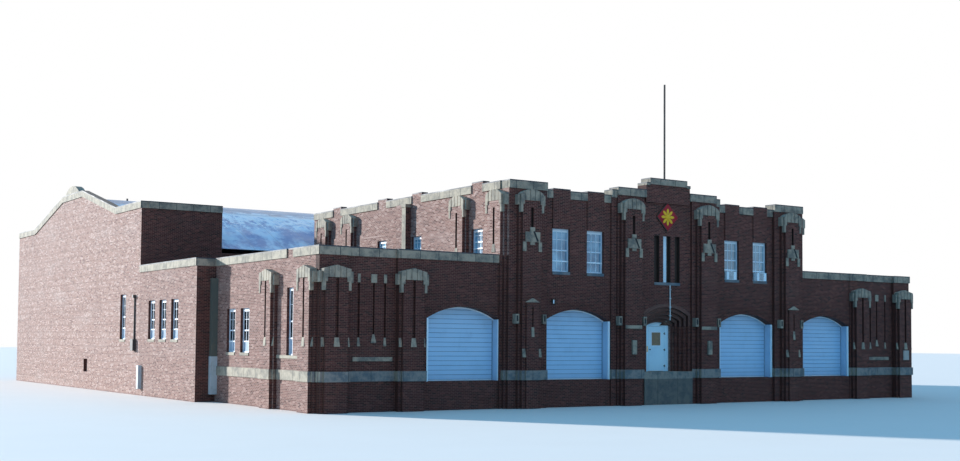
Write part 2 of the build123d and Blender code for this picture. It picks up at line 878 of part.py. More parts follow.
def side_coping(side):
    """Coping and caps along one side wall of the head house."""
    outer, inner = side * (house_half + coping_lip), side * (house_half - wall)
    half = side_window_width / 2
    edges = [front_back]
    for y in side_window_ys:
        edges += [y - half, y + half]
        cap(side * house_half, inner, y - half, y + half, house_top + side_merlon_rise)
    edges.append(hall_front)
    for y0, y1 in zip(edges[0::2], edges[1::2]):
        cope("house_coping", outer, inner, y0, y1, house_top)


def wing_coping():
    lip = coping_lip
    for side in (left, right):
        face, inner, outer = side * wing_half, side * (wing_half - wall), side * (wing_half + lip)
        for x0, x1, y0 in ((side * house_half, side * wing_pier_in, wing_garage_set),
                           (side * wing_pier_in, side * wing_panel_in, wing_pier_set),
                           (side * wing_panel_in, side * wing_panel_out, wing_panel_set),
                           (side * wing_panel_out, outer, wing_pier_set)):
            cope("wing_coping", x0, x1, y0 - lip, wing_front_back, wing_top)
        half = tall_window_width / 2
        cope("wing_coping", outer, inner, wing_front_back, tall_window_y - half, wing_top)
        cap(face, inner, tall_window_y - half, tall_window_y + half, wing_top)
        cope("wing_coping", outer, inner, tall_window_y + half, wing_depth, wing_top)
        bay_inner = side * (bay_half - wall)
        cope("wing_coping", side * (bay_half + lip), bay_inner, wing_depth, hall_front, wing_top)
        cope("wing_coping", bay_inner, inner, wing_depth, wing_depth + wall, wing_top)


def hall_coping():
    """Coping along the stepped end walls and the corner towers."""
    for side in (left, right):
        upper, middle, lower = gable_line(0), gable_line(cap_thickness), gable_line(coping_height)
        x0, x1 = side * (bay_half + coping_lip), side * (bay_half - wall)
        add("hall_coping", end_profile(lower + middle[::-1], x0, x1))
        add("parapet_caps", end_profile(middle + upper[::-1], x0, x1))
        add("hall_coping", gable_cap(x0, x1))
        edge, inner = side * (bay_half - wall), side * (bay_half - tower_length)
        for y0, y1 in ((hall_front - coping_lip, hall_front + wall), (hall_back - wall, hall_back + coping_lip)):
            cope("hall_coping", edge, inner, y0, y1, tower_top)


def gable_cap(x0, x1):
    """The raised stone with a curved back on top of an end wall."""
    middle = hall_front + hall_depth / 2
    ends = [(middle - gable_cap_half, gable_top), (middle + gable_cap_half, gable_top)]
    outline = ThreePointArc(ends[0], (middle, gable_top + gable_cap_rise), ends[1]) + Line(ends[1], ends[0])
    face = make_face(Plane.YZ.offset(min(x0, x1)) * outline)
    return extrude(face, amount=abs(x1 - x0), dir=(1, 0, 0))


def rect(x0, x1, y0, y1):
    return Pos((x0 + x1) / 2, (y0 + y1) / 2) * Rectangle(abs(x1 - x0), abs(y1 - y0))


def buttress_plan():
    plan = rect(-shoulder_half, shoulder_half, -shoulder_reach, shoulder_reach)
    return plan + rect(-buttress_half, buttress_half, -buttress_reach, shoulder_reach)


def footprint():
    """The outline of the head house and wings on the ground, with every pier and buttress."""
    back = wing_depth
    plan = rect(-house_half, house_half, bay_set, back)
    plan += rect(-wing_half, wing_half, wing_panel_set, back)
    plan += rect(-bay_half, bay_half, back, hall_front)
    for side in (left, right):
        plan += rect(side * house_half, side * corner_in, 0, back)
        plan += rect(side * bay_in, side * inner_pier_out, bay_set / 2, back)
        plan += rect(side * inner_pier_out, side * portal_half, 0, back)
        plan += rect(side * house_half, side * wing_pier_in, wing_garage_set, back)
        plan += rect(side * wing_pier_in, side * wing_panel_in, wing_pier_set, back)
        plan += rect(side * wing_panel_out, side * wing_half, wing_pier_set, back)
        plan += rect(side * corner_buttress_x - strip_half, side * corner_buttress_x + strip_half, -strip_reach, 0)
        for x in (inner_buttress_x, corner_buttress_x):
            plan += Pos(side * x, 0) * buttress_plan()
        for x in wing_buttress_xs:
            plan += Pos(side * x, wing_pier_set) * buttress_plan()
        for y in wing_side_ys:
            plan += Pos(side * wing_half, y) * Rot(0, 0, side * 90) * buttress_plan()
        plan += Pos(side * house_half, house_side_ys[0]) * Rot(0, 0, side * 90) * buttress_plan()
    return plan


def base_course():
    """The stone band round the foot of the front and the wings."""
    plan = footprint()
    band = extrude(offset(plan, amount=coping_lip, kind=Kind.INTERSECTION) - plan, course_top - course_bottom)
    band = Pos(0, 0, course_bottom) * band
    far = 2 * bay_half
    band -= block(-far, far, wing_depth, 2 * hall_back, base, wing_top)
    band -= block(-portal_half, portal_half, -far, wing_depth, base, wing_top)
    for side in (left, right):
        for x in (house_garage_x, wing_garage_x):
            half = garage_width / 2
            band -= block(side * x - half, side * x + half, -far, wing_depth, base, wing_top)
        band -= block(side * wing_half, side * far, wing_depth - coping_lip, hall_back, base, wing_top)
    band -= duct_cabinet()
    add("base_course", *band.solids())


def through_sill(x0, x1, y0, y1, sill):
    """A sill stone that fills the foot of an opening."""
    return block(x0, x1, y0, y1, sill - sill_height, sill)


def side_sill(side, half_length, y, width, sill):
    lip = side * (half_length + sill_lip)
    return through_sill(lip, side * (half_length - wall), y - width / 2, y + width / 2, sill)


def sills():
    for side in (left, right):
        half = window_width / 2
        for x in window_xs:
            add("window_sills", through_sill(side * x - half, side * x + half, bay_set - sill_lip,
                                             front_back, window_sill))
        face, lip = side * wing_half, side * (wing_half + sill_lip)
        band = through_sill(face, lip, wing_side_ys[0] + shoulder_half, wing_side_ys[1] - shoulder_half,
                            tall_window_sill)
        add("window_sills", band + side_sill(side, wing_half, tall_window_y, tall_window_width, tall_window_sill))
        for y in wing_window_ys:
            add("window_sills", side_sill(side, wing_half, y, wing_window_width, wing_window_sill))
        for y in bay_window_ys:
            add("window_sills", side_sill(side, bay_half, y, wing_window_width, bay_window_sill))
        add("window_sills", side_sill(side, bay_half, hall_window_y, side_window_width, hall_window_sill))
    add("window_sills", through_sill(-slot_half, slot_half, portal_set - sill_lip, bay_set + frame_set,
                                     slot_sill))


def emblem():
    """A plain diamond board on the centre bay."""
    half = emblem_half
    board = front_profile([(-half, 0), (0, -half), (half, 0), (0, half)], -emblem_thickness, 0)
    return Pos(0, portal_set, emblem_z) * board


def flagpole():
    """The pole on top of the peak's coping."""
    return Pos(0, (front_back - coping_lip) / 2, (peak_top + pole_top) / 2) * post(pole_radius, pole_top - peak_top)


def entrance_lamp():
    """A conduit down the wall from the slot windows' sill to a lamp over the door."""
    top = slot_sill - sill_height
    y = portal_set - conduit_radius
    body = Pos(conduit_x, y, (conduit_low + top) / 2) * post(conduit_radius, top - conduit_low)
    body += block(lamp_x, conduit_x, y - conduit_radius, y + conduit_radius, conduit_low,
                  conduit_low + conduit_radius)
    shade = Pos(lamp_x, y, conduit_low - lamp_height / 2) * post(lamp_radius, lamp_height)
    return body + shade


def window_coolers():
    """Two air conditioners that stand on the sills of the right front windows, against the sashes."""
    half = cooler_width / 2
    for x, reach in zip(window_xs, (0, cooler_reach)):
        add("window_coolers", block(x - half, x + half, bay_set - reach, bay_set + frame_set, window_sill,
                                    window_sill + cooler_height))


def duct_cabinet():
    """The tall cabinet in the corner on the left, under the duct."""
    face = left * wing_half
    return block(face, face - duct_cabinet_size, wing_depth - duct_cabinet_size, wing_depth,
                 duct_cabinet_low, duct_low)


def wall_cabinets():
    """The corner cabinet and the low meter cabinet, both on the left."""
    add("wall_cabinets", duct_cabinet())
    face = left * bay_half
    half = meter_cabinet_width / 2
    add("wall_cabinets", block(face, face - meter_cabinet_depth, meter_cabinet_y - half, meter_cabinet_y + half,
                               meter_cabinet_low, meter_cabinet_top))
    add("corner_duct", block(-wing_half, -wing_half - duct_size, wing_depth - duct_size, wing_depth, duct_low,
                             duct_top))


def service_meter():
    """The meter box on the hall's left end wall, with the service mast over it."""
    depth, width, height = meter_size
    face = left * bay_half
    body = block(face, face - depth, meter_y - width / 2, meter_y + width / 2, meter_low, meter_low + height)
    foot = meter_low + height
    body += Pos(face - mast_radius, meter_y, (foot + mast_top) / 2) * post(mast_radius, mast_top - foot)
    return body + block(face, face - 4 * mast_radius, meter_y - 2 * mast_radius, meter_y + 2 * mast_radius,
                        mast_top, mast_top + 4 * mast_radius)


def vent_pipes():
    """Two short vent pipes on the crown of the vault, one near each end."""
    middle = hall_front + hall_depth / 2
    foot = hall_crown + roof_thickness
    return [Pos(side * (bay_half - vent_pipe_inset), middle, foot + vent_pipe_height / 2) * post(vent_pipe_radius, vent_pipe_height)
            for side in (left, right)]


def walls():
    both("front_wall_{}", front_wall)
    add("entrance_piers", *[entrance_side(side) for side in (left, right)])
    add("entrance_wall_over", entrance_over())
    add("portal_arch", portal_rings())
    add("portal_jambs", *[portal_jamb(side) for side in (left, right)])
    add("house_lower_walls", *[house_lower_wall(side) for side in (left, right)])
    both("house_upper_wall_{}", house_upper_wall)
    add("house_wall_back", house_back_wall())
    both("wing_front_{}", wing_front)
    both("wing_side_{}", wing_side)
    add("rear_bay_walls", *[rear_bay(side) for side in (left, right)])
    add("hall_end_walls", *[hall_end(side) for side in (left, right)])
    add("hall_front_walls", *[hall_long_wall(hall_front, house_half, side) for side in (left, right)])
    back = hall_back - wall
    add("hall_wall_back", hall_long_wall(back, 0, left) + hall_long_wall(back, 0, right))
    add("tower_walls", *tower_walls())


def floors_and_roofs():
    add("ground_floor", *ground_floor())
    add("upper_floor", house_slab(upper_floor_level))
    add("house_roof", house_slab(bay_top - roof_drop))
    add("wing_roofs", *[wing_slab(side, lower_wall_top) for side in (left, right)])
    add("hall_roof", hall_roof())
    add("tower_roofs", *tower_roofs())


def doors():
    add("entrance_step", entrance_step())
    add("door_frame", door_frame())
    add("entrance_door", entrance_door())
    add("door_hinges", *[hinge_place(height) * frame_hinge() for height in hinge_heights])
    add("door_hardware", *door_hardware())
    for side in (left, right):
        garage(side * house_garage_x, bay_set, front_back)
        garage(side * wing_garage_x, wing_garage_set, wing_front_back)


def trim():
    hoods()
    ornaments()
    house_coping()
    wing_coping()
    hall_coping()
    base_course()
    sills()
    add("emblem_board", emblem())


def fittings():
    add("flagpole", flagpole())
    add("outdoor_lamps", entrance_lamp())
    half = wall_lamp_size / 2
    x = wall_lamp_inset - corner_in
    add("outdoor_lamps", block(x - half, x + half, bay_set - wall_lamp_size, bay_set,
                           wall_lamp_z - wall_lamp_size, wall_lamp_z + wall_lamp_size))
    window_coolers()
    wall_cabinets()
    add("service_meter", service_meter())
    add("vent_pipes", *vent_pipes())


def place(solids):
    """Moves pieces so that the origin is in the middle of the footprint, on the lowest ground."""
    middle_x = (coping_lip - meter_cabinet_depth) / 2
    middle_y = (hall_back + coping_lip - strip_reach - coping_lip) / 2
    return [Pos(-middle_x, -middle_y, foundation_depth) * solid for solid in solids]


walls()
floors_and_roofs()
doors()
windows()
trim()
fittings()
os.makedirs("parts", exist_ok=True)
for name, solids in parts.items():
    placed = place(solids)
    shape = placed[0] if len(placed) == 1 else Compound(children=placed)
    export_step(shape, "parts/" + name + ".step")
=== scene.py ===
import json
import math

import bmesh
import bpy
from mathutils import Matrix, Vector


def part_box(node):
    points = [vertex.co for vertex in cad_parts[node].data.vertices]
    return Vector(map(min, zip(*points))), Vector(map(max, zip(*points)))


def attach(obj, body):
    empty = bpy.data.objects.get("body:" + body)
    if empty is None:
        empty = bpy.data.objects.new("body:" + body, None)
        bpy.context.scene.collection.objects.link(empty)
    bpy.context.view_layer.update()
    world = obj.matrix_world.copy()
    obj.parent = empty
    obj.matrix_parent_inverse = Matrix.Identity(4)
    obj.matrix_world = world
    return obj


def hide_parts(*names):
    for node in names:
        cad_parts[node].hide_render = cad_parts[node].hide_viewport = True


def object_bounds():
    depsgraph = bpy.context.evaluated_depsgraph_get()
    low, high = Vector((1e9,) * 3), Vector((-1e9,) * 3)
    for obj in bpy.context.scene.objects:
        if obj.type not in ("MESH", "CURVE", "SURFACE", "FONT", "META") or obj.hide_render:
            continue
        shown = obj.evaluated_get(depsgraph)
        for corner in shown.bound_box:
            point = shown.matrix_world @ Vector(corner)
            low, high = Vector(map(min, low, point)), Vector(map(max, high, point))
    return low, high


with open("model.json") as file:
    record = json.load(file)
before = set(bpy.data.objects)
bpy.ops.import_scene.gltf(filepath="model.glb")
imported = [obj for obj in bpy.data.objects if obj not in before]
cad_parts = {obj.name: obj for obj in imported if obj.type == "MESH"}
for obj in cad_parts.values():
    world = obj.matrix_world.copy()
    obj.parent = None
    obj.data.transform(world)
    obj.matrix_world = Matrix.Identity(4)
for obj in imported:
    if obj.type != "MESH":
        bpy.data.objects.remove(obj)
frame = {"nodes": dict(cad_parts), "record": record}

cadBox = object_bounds()
nodes = frame["nodes"]
slotOf = {part["node"]: part["material_slot"] for part in frame["record"]["subparts"]}

# brick sizes at half of the real ones, in metres
brick = {"length": 0.1065, "course": 0.0335, "joint": 0.005, "headerEvery": 6.0}
doorLow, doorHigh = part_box("entrance_door")
middleX = (doorLow.x + doorHigh.x) / 2
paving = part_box("garage_doors")[0].z
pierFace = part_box("entrance_wall_over")[0].y
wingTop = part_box("wing_coping")[1].z
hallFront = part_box("hall_end_walls")[0].y
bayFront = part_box("rear_bay_walls")[0].y
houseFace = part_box("house_lower_walls")[1].x - middleX
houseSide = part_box("house_upper_wall_right")[1].x - middleX
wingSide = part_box("wing_front_right")[1].x - middleX
# a face looks along an axis when its normal reaches further than this on it
turned = 0.7


class Number:
    # a shader value: arithmetic on it adds Math nodes to its material
    def __init__(self, paint, socket):
        self.paint = paint
        self.socket = socket

    def __add__(self, other):
        return self.paint.math("ADD", self, other)

    __radd__ = __add__

    def __sub__(self, other):
        return self.paint.math("SUBTRACT", self, other)

    def __rsub__(self, other):
        return self.paint.math("SUBTRACT", other, self)

    def __mul__(self, other):
        return self.paint.math("MULTIPLY", self, other)

    __rmul__ = __mul__

    def __truediv__(self, other):
        return self.paint.math("DIVIDE", self, other)

    def __mod__(self, other):
        return self.paint.math("FLOORED_MODULO", self, other)

    def __gt__(self, other):
        return self.paint.math("GREATER_THAN", self, other)

    def __lt__(self, other):
        return self.paint.math("LESS_THAN", self, other)

    def __abs__(self):
        return self.paint.math("ABSOLUTE", self)

    def other(self, output):
        return Number(self.paint, self.socket.node.outputs[output])


class Paint:
    # a material under construction, with its object coordinates and normal at hand
    def __init__(self, name, roughness, metallic=0.0, coat=0.0):
        self.material = bpy.data.materials.new(name)
        self.material.use_nodes = True
        self.tree = self.material.node_tree
        self.shader = self.tree.nodes["Principled BSDF"]
        self.set("Roughness", roughness)
        self.set("Metallic", metallic)
        self.set("Coat Weight", coat)
        self.place = self.make("TexCoord", {}, {}, "Object")
        self.normal = self.place.other("Normal")

    def feed(self, socket, value):
        if isinstance(value, Number):
            self.tree.links.new(value.socket, socket)
        else:
            socket.default_value = value

    def set(self, name, value):
        self.feed(self.shader.inputs[name], value)

    def make(self, kind, settings, sockets, output=0):
        node = self.tree.nodes.new("ShaderNode" + kind)
        for name, value in settings.items():
            setattr(node, name, value)
        for name, value in sockets.items():
            self.feed(node.inputs[name], value)
        return Number(self, node.outputs[output])

    def math(self, operation, *values):
        return self.make("Math", {"operation": operation}, dict(enumerate(values)))

    def axes(self, vector):
        x = self.make("SeparateXYZ", {}, {"Vector": vector})
        return x, x.other("Y"), x.other("Z")

    def point(self, x, y, z):
        return self.make("CombineXYZ", {}, {"X": x, "Y": y, "Z": z})

    def noise(self, scale, detail=3.0, roughness=0.6, stretch=(1, 1, 1)):
        at = self.make("VectorMath", {"operation": "MULTIPLY"}, {0: self.place, 1: stretch})
        return self.make("TexNoise", {},
                         {"Vector": at, "Scale": scale, "Detail": detail, "Roughness": roughness})

    def fade(self, value, low, high, start=0.0, end=1.0):
        return self.make("MapRange", {"interpolation_type": "SMOOTHSTEP"},
                         {"Value": value, "From Min": low, "From Max": high, "To Min": start, "To Max": end})

    def mix(self, factor, first, second):
        return self.make("Mix", {"data_type": "RGBA"}, {0: factor, 6: first, 7: second}, 2)

    def bump(self, height, distance):
        self.set("Normal", self.make("Bump", {}, {"Height": height, "Distance": distance}))

    def wallRun(self):
        # distance along a wall and height on it, whichever way it faces; flat tops take x and y
        x, y, z = self.axes(self.place)
        nx, _, nz = self.axes(self.normal)
        run = x + (y - x) * (abs(nx) > turned)
        return run, z + (y - z) * (abs(nz) > turned)


def rgb(red, green, blue):
    return (red, green, blue, 1.0)


brickTones = {"dark": rgb(0.018, 0.004, 0.0035), "body": rgb(0.080, 0.0155, 0.011),
              "light": rgb(0.18, 0.048, 0.033), "mortar": rgb(0.41, 0.215, 0.155),
              "bloom": rgb(0.20, 0.095, 0.070)}
# a paler copy of the brick tones above, painting sunlight on the outer faces of the side walls
sunlitTones = {"dark": rgb(0.14, 0.050, 0.037), "body": rgb(0.325, 0.170, 0.130),
             "light": rgb(0.52, 0.36, 0.30), "mortar": rgb(0.70, 0.62, 0.54),
             "bloom": rgb(0.55, 0.46, 0.41)}
# how far back the front's brick and stone reach, and how near to its place a face has to be
walls = {"front": 0.32, "stoneFront": 0.45, "near": 0.015}
# weathering values, with the strength of the painted sunlight on the side walls and of the painted shade low
# on the front
weatherAndPaintedLight = {"sunlight": 0.74, "hallSunlight": 0.26, "wingLessSunlight": 0.2, "header": 0.15, "sideHeader": 0.3,
           "grain": 0.25, "foot": 0.28, "footShadeLow": 1.6, "footShadeHigh": 3.0, "relief": 0.003}


def paintedSunlight(paint):
    # how much painted sunlight each outer face of the side walls gets, and 0 elsewhere
    x, y, z = paint.axes(paint.place)
    reach = abs(x - middleX)
    upper = (reach > houseFace - walls["near"]) * (reach < houseSide + walls["near"]) * (z > wingTop)
    outer = paint.math("MAXIMUM", upper, y > pierFace + walls["front"])
    sunlight = weatherAndPaintedLight["sunlight"] + weatherAndPaintedLight["hallSunlight"] * (y > hallFront)
    sunlight = sunlight - weatherAndPaintedLight["wingLessSunlight"] * (reach > wingSide - walls["near"]) * (y < bayFront)
    return outer * sunlight * (abs(paint.axes(paint.normal)[0]) > turned)


def brickColours(paint, run, rise, width, height, offset, shade=1.0, pale=0.0, paintedFlankShade=0.7):
    # burnt bricks of three tones in a running bond, with weathering over many courses;
    # the front has painted shade on its flanks and low down
    joint = brick["joint"] / 2
    tone = paint.make("TexBrick", {"offset": offset},
                      {"Vector": paint.point(run, rise, 0.0), "Color1": rgb(0, 0, 0), "Color2": rgb(1, 1, 1),
                       "Mortar": rgb(0.5, 0.5, 0.5), "Scale": 1.0, "Mortar Size": joint, "Mortar Smooth": 0.3,
                       "Brick Width": width, "Row Height": height})
    mortar = tone.other("Fac")
    side = paintedSunlight(paint)
    bloom = paint.fade(paint.noise(0.9, 4.0, 0.55, (0.5, 0.5, 2.2)), 0.5, 0.8, 0.0, 0.2)
    soot = paint.fade(paint.noise(0.9, 4.0, 0.6, (2.2, 2.2, 0.35)), 0.5, 0.78, 0.0, 0.35)
    header = ((rise / height) % brick["headerEvery"]) < 1.0
    header = header * (weatherAndPaintedLight["header"] + weatherAndPaintedLight["sideHeader"] * side)
    grain = paint.noise(60.0, 2.0)
    looks = []
    for tones in (brickTones, sunlitTones):
        colour = paint.mix(paint.fade(tone, 0.0, 0.35), tones["dark"], tones["body"])
        colour = paint.mix(paint.fade(tone, 0.7, 1.0), colour, tones["light"])
        colour = paint.mix(header, colour, tones["dark"])
        colour = paint.mix(bloom, colour, tones["bloom"])
        colour = paint.mix(soot, colour, tones["dark"])
        looks.append(paint.mix(mortar, colour, tones["mortar"]))
    # painted sunlight: the outer faces of the side walls take the paler tones
    colour = paint.mix(side, looks[0], looks[1])
    colour = paint.mix(paint.fade(grain, 0.35, 0.8, 0.0, weatherAndPaintedLight["grain"]), colour, brickTones["dark"])
    # painted highlight: the pale share lightens the colour towards the mortar tone
    colour = paint.mix(pale, colour, brickTones["mortar"])
    # painted shade: side-facing faces on the front are darkened
    shadedFlank = (abs(paint.axes(paint.normal)[0]) > turned) * (side < 0.5)
    colour = paint.mix(shadedFlank * paintedFlankShade, colour, brickTones["dark"])
    # painted shade: the front darkens towards the bottom
    z = paint.axes(paint.place)[2]
    foot = paint.fade(z, paving + weatherAndPaintedLight["footShadeLow"], paving + weatherAndPaintedLight["footShadeHigh"], 1.0, 0.0)
    colour = paint.mix(foot * (side < 0.5) * weatherAndPaintedLight["foot"], colour, brickTones["dark"])
    # painted shade: a shade below 1 darkens the colour towards the dark tone
    paint.set("Base Color", paint.mix(shade, brickTones["dark"], colour))
    paint.bump(grain * 0.3 - mortar, weatherAndPaintedLight["relief"])
    paint.set("Roughness", paint.fade(grain, 0.2, 0.8, 0.8, 0.95))


def brickwork(name, paintedFlankShade):
    paint = Paint(name, 0.9)
    run, rise = paint.wallRun()
    brickColours(paint, run, rise - paving, brick["length"], brick["course"], 0.5, paintedFlankShade=paintedFlankShade)
    return paint.material


# the pale value is the painted highlight on the rings' front faces, the flank shade their painted shade
portal = {"centreBelowTop": 1.05, "meanRadius": 0.9, "brick": 0.072, "flankShade": 0.15, "pale": 0.25}


def archBrickwork():
    # brick on end round the portal, in rings about one centre, with painted shade on the rings' soffits and
    # flanks and a painted highlight on their front faces
    paint = Paint("archBrickwork", 0.9)
    x, y, z = paint.axes(paint.place)
    across = x - middleX
    up = z - (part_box("portal_arch")[1].z - portal["centreBelowTop"])
    angle = paint.math("ARCTAN2", across, up)
    radius = paint.math("SQRT", across * across + up * up)
    front = abs(paint.axes(paint.normal)[1]) > turned
    depth = y + (radius - y) * front
    shade = portal["flankShade"] + (1.0 - portal["flankShade"]) * front
    brickColours(paint, depth, angle * portal["meanRadius"], portal["brick"], brick["course"], 0.0, shade,
                 front * portal["pale"])
    return paint.material


# the shaded tones, the shade colour and the flank shade paint shade on the front; the stain colour serves
# both for real stains and for painted shade
stone = {"pale": rgb(0.40, 0.345, 0.255), "grey": rgb(0.21, 0.19, 0.15), "stainAndShade": rgb(0.05, 0.055, 0.05),
         "shadedPale": rgb(0.46, 0.32, 0.22), "shadedGrey": rgb(0.17, 0.14, 0.11), "shade": rgb(0.04, 0.11, 0.17),
         "stoneFlankShade": 0.35, "relief": 0.003}


def shadedFront(paint):
    # true on faces that look to the front, which get the painted shade tones
    return paint.axes(paint.normal)[1] < -0.7


def limestone(name, jointStep, jointWidth=0.006, frontShade=0.0, footShade=0.0):
    # weathered stone with upright joints at even steps along the wall; a step of 0 has none
    # the front shade paints shade on what is on the front, and the foot shade darkens what is below the
    # paving
    paint = Paint(name, 0.85)
    patches = paint.fade(paint.noise(3.5, 6.0, 0.75), 0.40, 0.64)
    litTone = paint.mix(patches, stone["pale"], stone["grey"])
    shadedTone = paint.mix(patches, stone["shadedPale"], stone["shadedGrey"])
    # painted shade: front faces take the shaded copy of the stone tones
    colour = paint.mix(shadedFront(paint), litTone, shadedTone)
    streaks = paint.noise(5.0, 4.0, 0.7, (2.0, 2.0, 0.5))
    colour = paint.mix(paint.fade(streaks, 0.55, 0.8, 0.0, 0.7), colour, stone["stainAndShade"])
    grain = paint.noise(45.0, 3.0)
    x, y, z = paint.axes(paint.place)
    front = y < pierFace + walls["stoneFront"]
    # painted shade: the front faces are tinted towards the blue shade colour
    colour = paint.mix(shadedFront(paint) * front * frontShade, colour, stone["shade"])
    colour = paint.mix((z < paving) * footShade, colour, stone["stainAndShade"])
    # painted shade: side-facing faces of the front stone are darkened
    edge = (abs(paint.axes(paint.normal)[0]) > turned) * front * (abs(x - middleX) < wingSide - walls["near"])
    colour = paint.mix(edge * stone["stoneFlankShade"], colour, stone["stainAndShade"])
    height = grain * 0.4
    if jointStep:
        gap = abs(paint.wallRun()[0] % jointStep - jointStep / 2) < jointWidth / 2
        colour = paint.mix(gap, colour, stone["stainAndShade"])
        height = height - gap
    paint.set("Base Color", colour)
    paint.bump(height, stone["relief"])
    paint.set("Roughness", paint.fade(grain, 0.2, 0.8, 0.7, 0.95))
    return paint.material


def concrete():
    paint = Paint("concrete", 0.9)
    patches = paint.noise(1.4, 5.0, 0.7)
    grain = paint.noise(30.0, 3.0)
    colour = paint.mix(patches, rgb(0.34, 0.33, 0.31), rgb(0.48, 0.47, 0.44))
    paint.set("Base Color", paint.mix(paint.fade(grain, 0.6, 0.8, 0.0, 0.3), colour, stone["grey"]))
    paint.bump(grain, 0.002)
    return paint.material


def rolledRoofing():
    # felt in sheets with tarred laps
    sheet = {"width": 0.48, "lap": 0.03}
    paint = Paint("rolledRoofing", 0.95)
    lap = (paint.axes(paint.place)[1] % sheet["width"]) < sheet["lap"]
    grit = paint.noise(80.0, 2.0)
    patches = paint.noise(0.8, 4.0)
    colour = paint.mix(patches, rgb(0.10, 0.10, 0.105), rgb(0.21, 0.21, 0.21))
    colour = paint.mix(lap * 0.7, colour, rgb(0.035, 0.035, 0.035))
    paint.set("Base Color", colour)
    paint.bump(grit * 0.4 + lap, 0.004)
    return paint.material


def vaultRoofing():
    # pale coated metal: streaked, bright on the lower slope with painted glints that grow stronger higher up,
    # duller above, frost where they meet the slope at the back has less of the painted glints and of the
    # frost
    look = {"white": rgb(0.97, 0.97, 0.97), "backWhite": 0.3, "break": 0.76, "seam": 0.02, "sheet": 0.9}
    paint = Paint("vaultRoofing", 0.5, coat=0.2)
    low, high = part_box("hall_roof")
    x, y, z = paint.axes(paint.place)
    level = (z - low.z) / (high.z - low.z)
    streaks = paint.noise(1.2, 6.0, 0.7, (1.0, 0.4, 1.6))
    frost = paint.noise(2.4, 6.0, 0.75, (0.6, 1.0, 1.0))
    glints = paint.noise(4.5, 8.0, 0.8, (1.0, 0.5, 2.0))
    lower = paint.mix(paint.fade(streaks, 0.40, 0.60), rgb(0.13, 0.27, 0.50), rgb(0.58, 0.76, 0.88))
    white = 1.0 - (1.0 - look["backWhite"]) * (y > (low.y + high.y) / 2)
    # painted highlight: white glints on the lower slope, fewer on the back
    lower = paint.mix(paint.fade(glints + (level - 0.50) * 0.5, 0.48, 0.56) * white, lower, look["white"])
    upper = paint.mix(paint.fade(streaks, 0.4, 0.7), rgb(0.08, 0.21, 0.36), rgb(0.17, 0.33, 0.50))
    colour = paint.mix(paint.fade(level + streaks * 0.1, 0.74, 0.80), lower, upper)
    edge = 1.0 - paint.fade(abs(level - look["break"]), 0.0, 0.06)
    colour = paint.mix(edge * paint.fade(frost, 0.45, 0.53) * white, colour, look["white"])
    seam = (x % look["sheet"]) < look["seam"]
    paint.set("Base Color", paint.mix(seam * 0.5, colour, rgb(0.28, 0.32, 0.38)))
    paint.set("Roughness", paint.fade(frost, 0.3, 0.7, 0.35, 0.7))
    paint.bump(seam + streaks * 0.3, 0.006)
    return paint.material


def enamel(name, colour, dirt, roughness=0.45, metallic=0.0, spread=2.0, coat=0.1):
    # paint with faint dirt, runs and a slightly uneven gloss
    paint = Paint(name, roughness, metallic, coat)
    patches = paint.noise(spread, 5.0, 0.65)
    runs = paint.noise(spread * 3, 4.0, 0.7, (2.0, 2.0, 0.25))
    grime = paint.fade(patches, 0.45, 0.8, 0.0, 0.5) + paint.fade(runs, 0.58, 0.8, 0.0, 0.4)
    paint.set("Base Color", paint.mix(grime, colour, dirt))
    paint.set("Roughness", paint.fade(patches, 0.2, 0.8, roughness - 0.1, roughness + 0.15))
    paint.bump(paint.noise(25.0, 3.0), 0.0008)
    return paint.material


warmPanes = {"from": 0.8, "share": 0.35, "tone": rgb(0.60, 0.52, 0.42)}


def glazing(name, dark, pale, coat, shine):
    # old sheet glass whose colour paints the sky it reflects, with warmer shades behind the panes right of
    # the middle
    paint = Paint(name, 0.06, coat=coat)
    paint.set("Specular IOR Level", shine)
    patches = paint.noise(1.3, 3.0, 0.5)
    ripple = paint.noise(9.0, 2.0)
    # painted reflection: the sky in dark and pale patches
    skyReflection = paint.mix(paint.fade(patches, 0.38, 0.62), dark, pale)
    warm = paint.axes(paint.place)[0] > middleX + warmPanes["from"]
    skyReflection = paint.mix(warm * warmPanes["share"], skyReflection, warmPanes["tone"])
    # painted reflection: ripples lighten the glass in streaks
    paint.set("Base Color", paint.mix(paint.fade(ripple, 0.6, 0.8, 0.0, 0.3), skyReflection, rgb(0.6, 0.72, 0.78)))
    paint.set("Roughness", paint.fade(patches, 0.3, 0.7, 0.04, 0.14))
    paint.bump(ripple, 0.0015)
    return paint.material


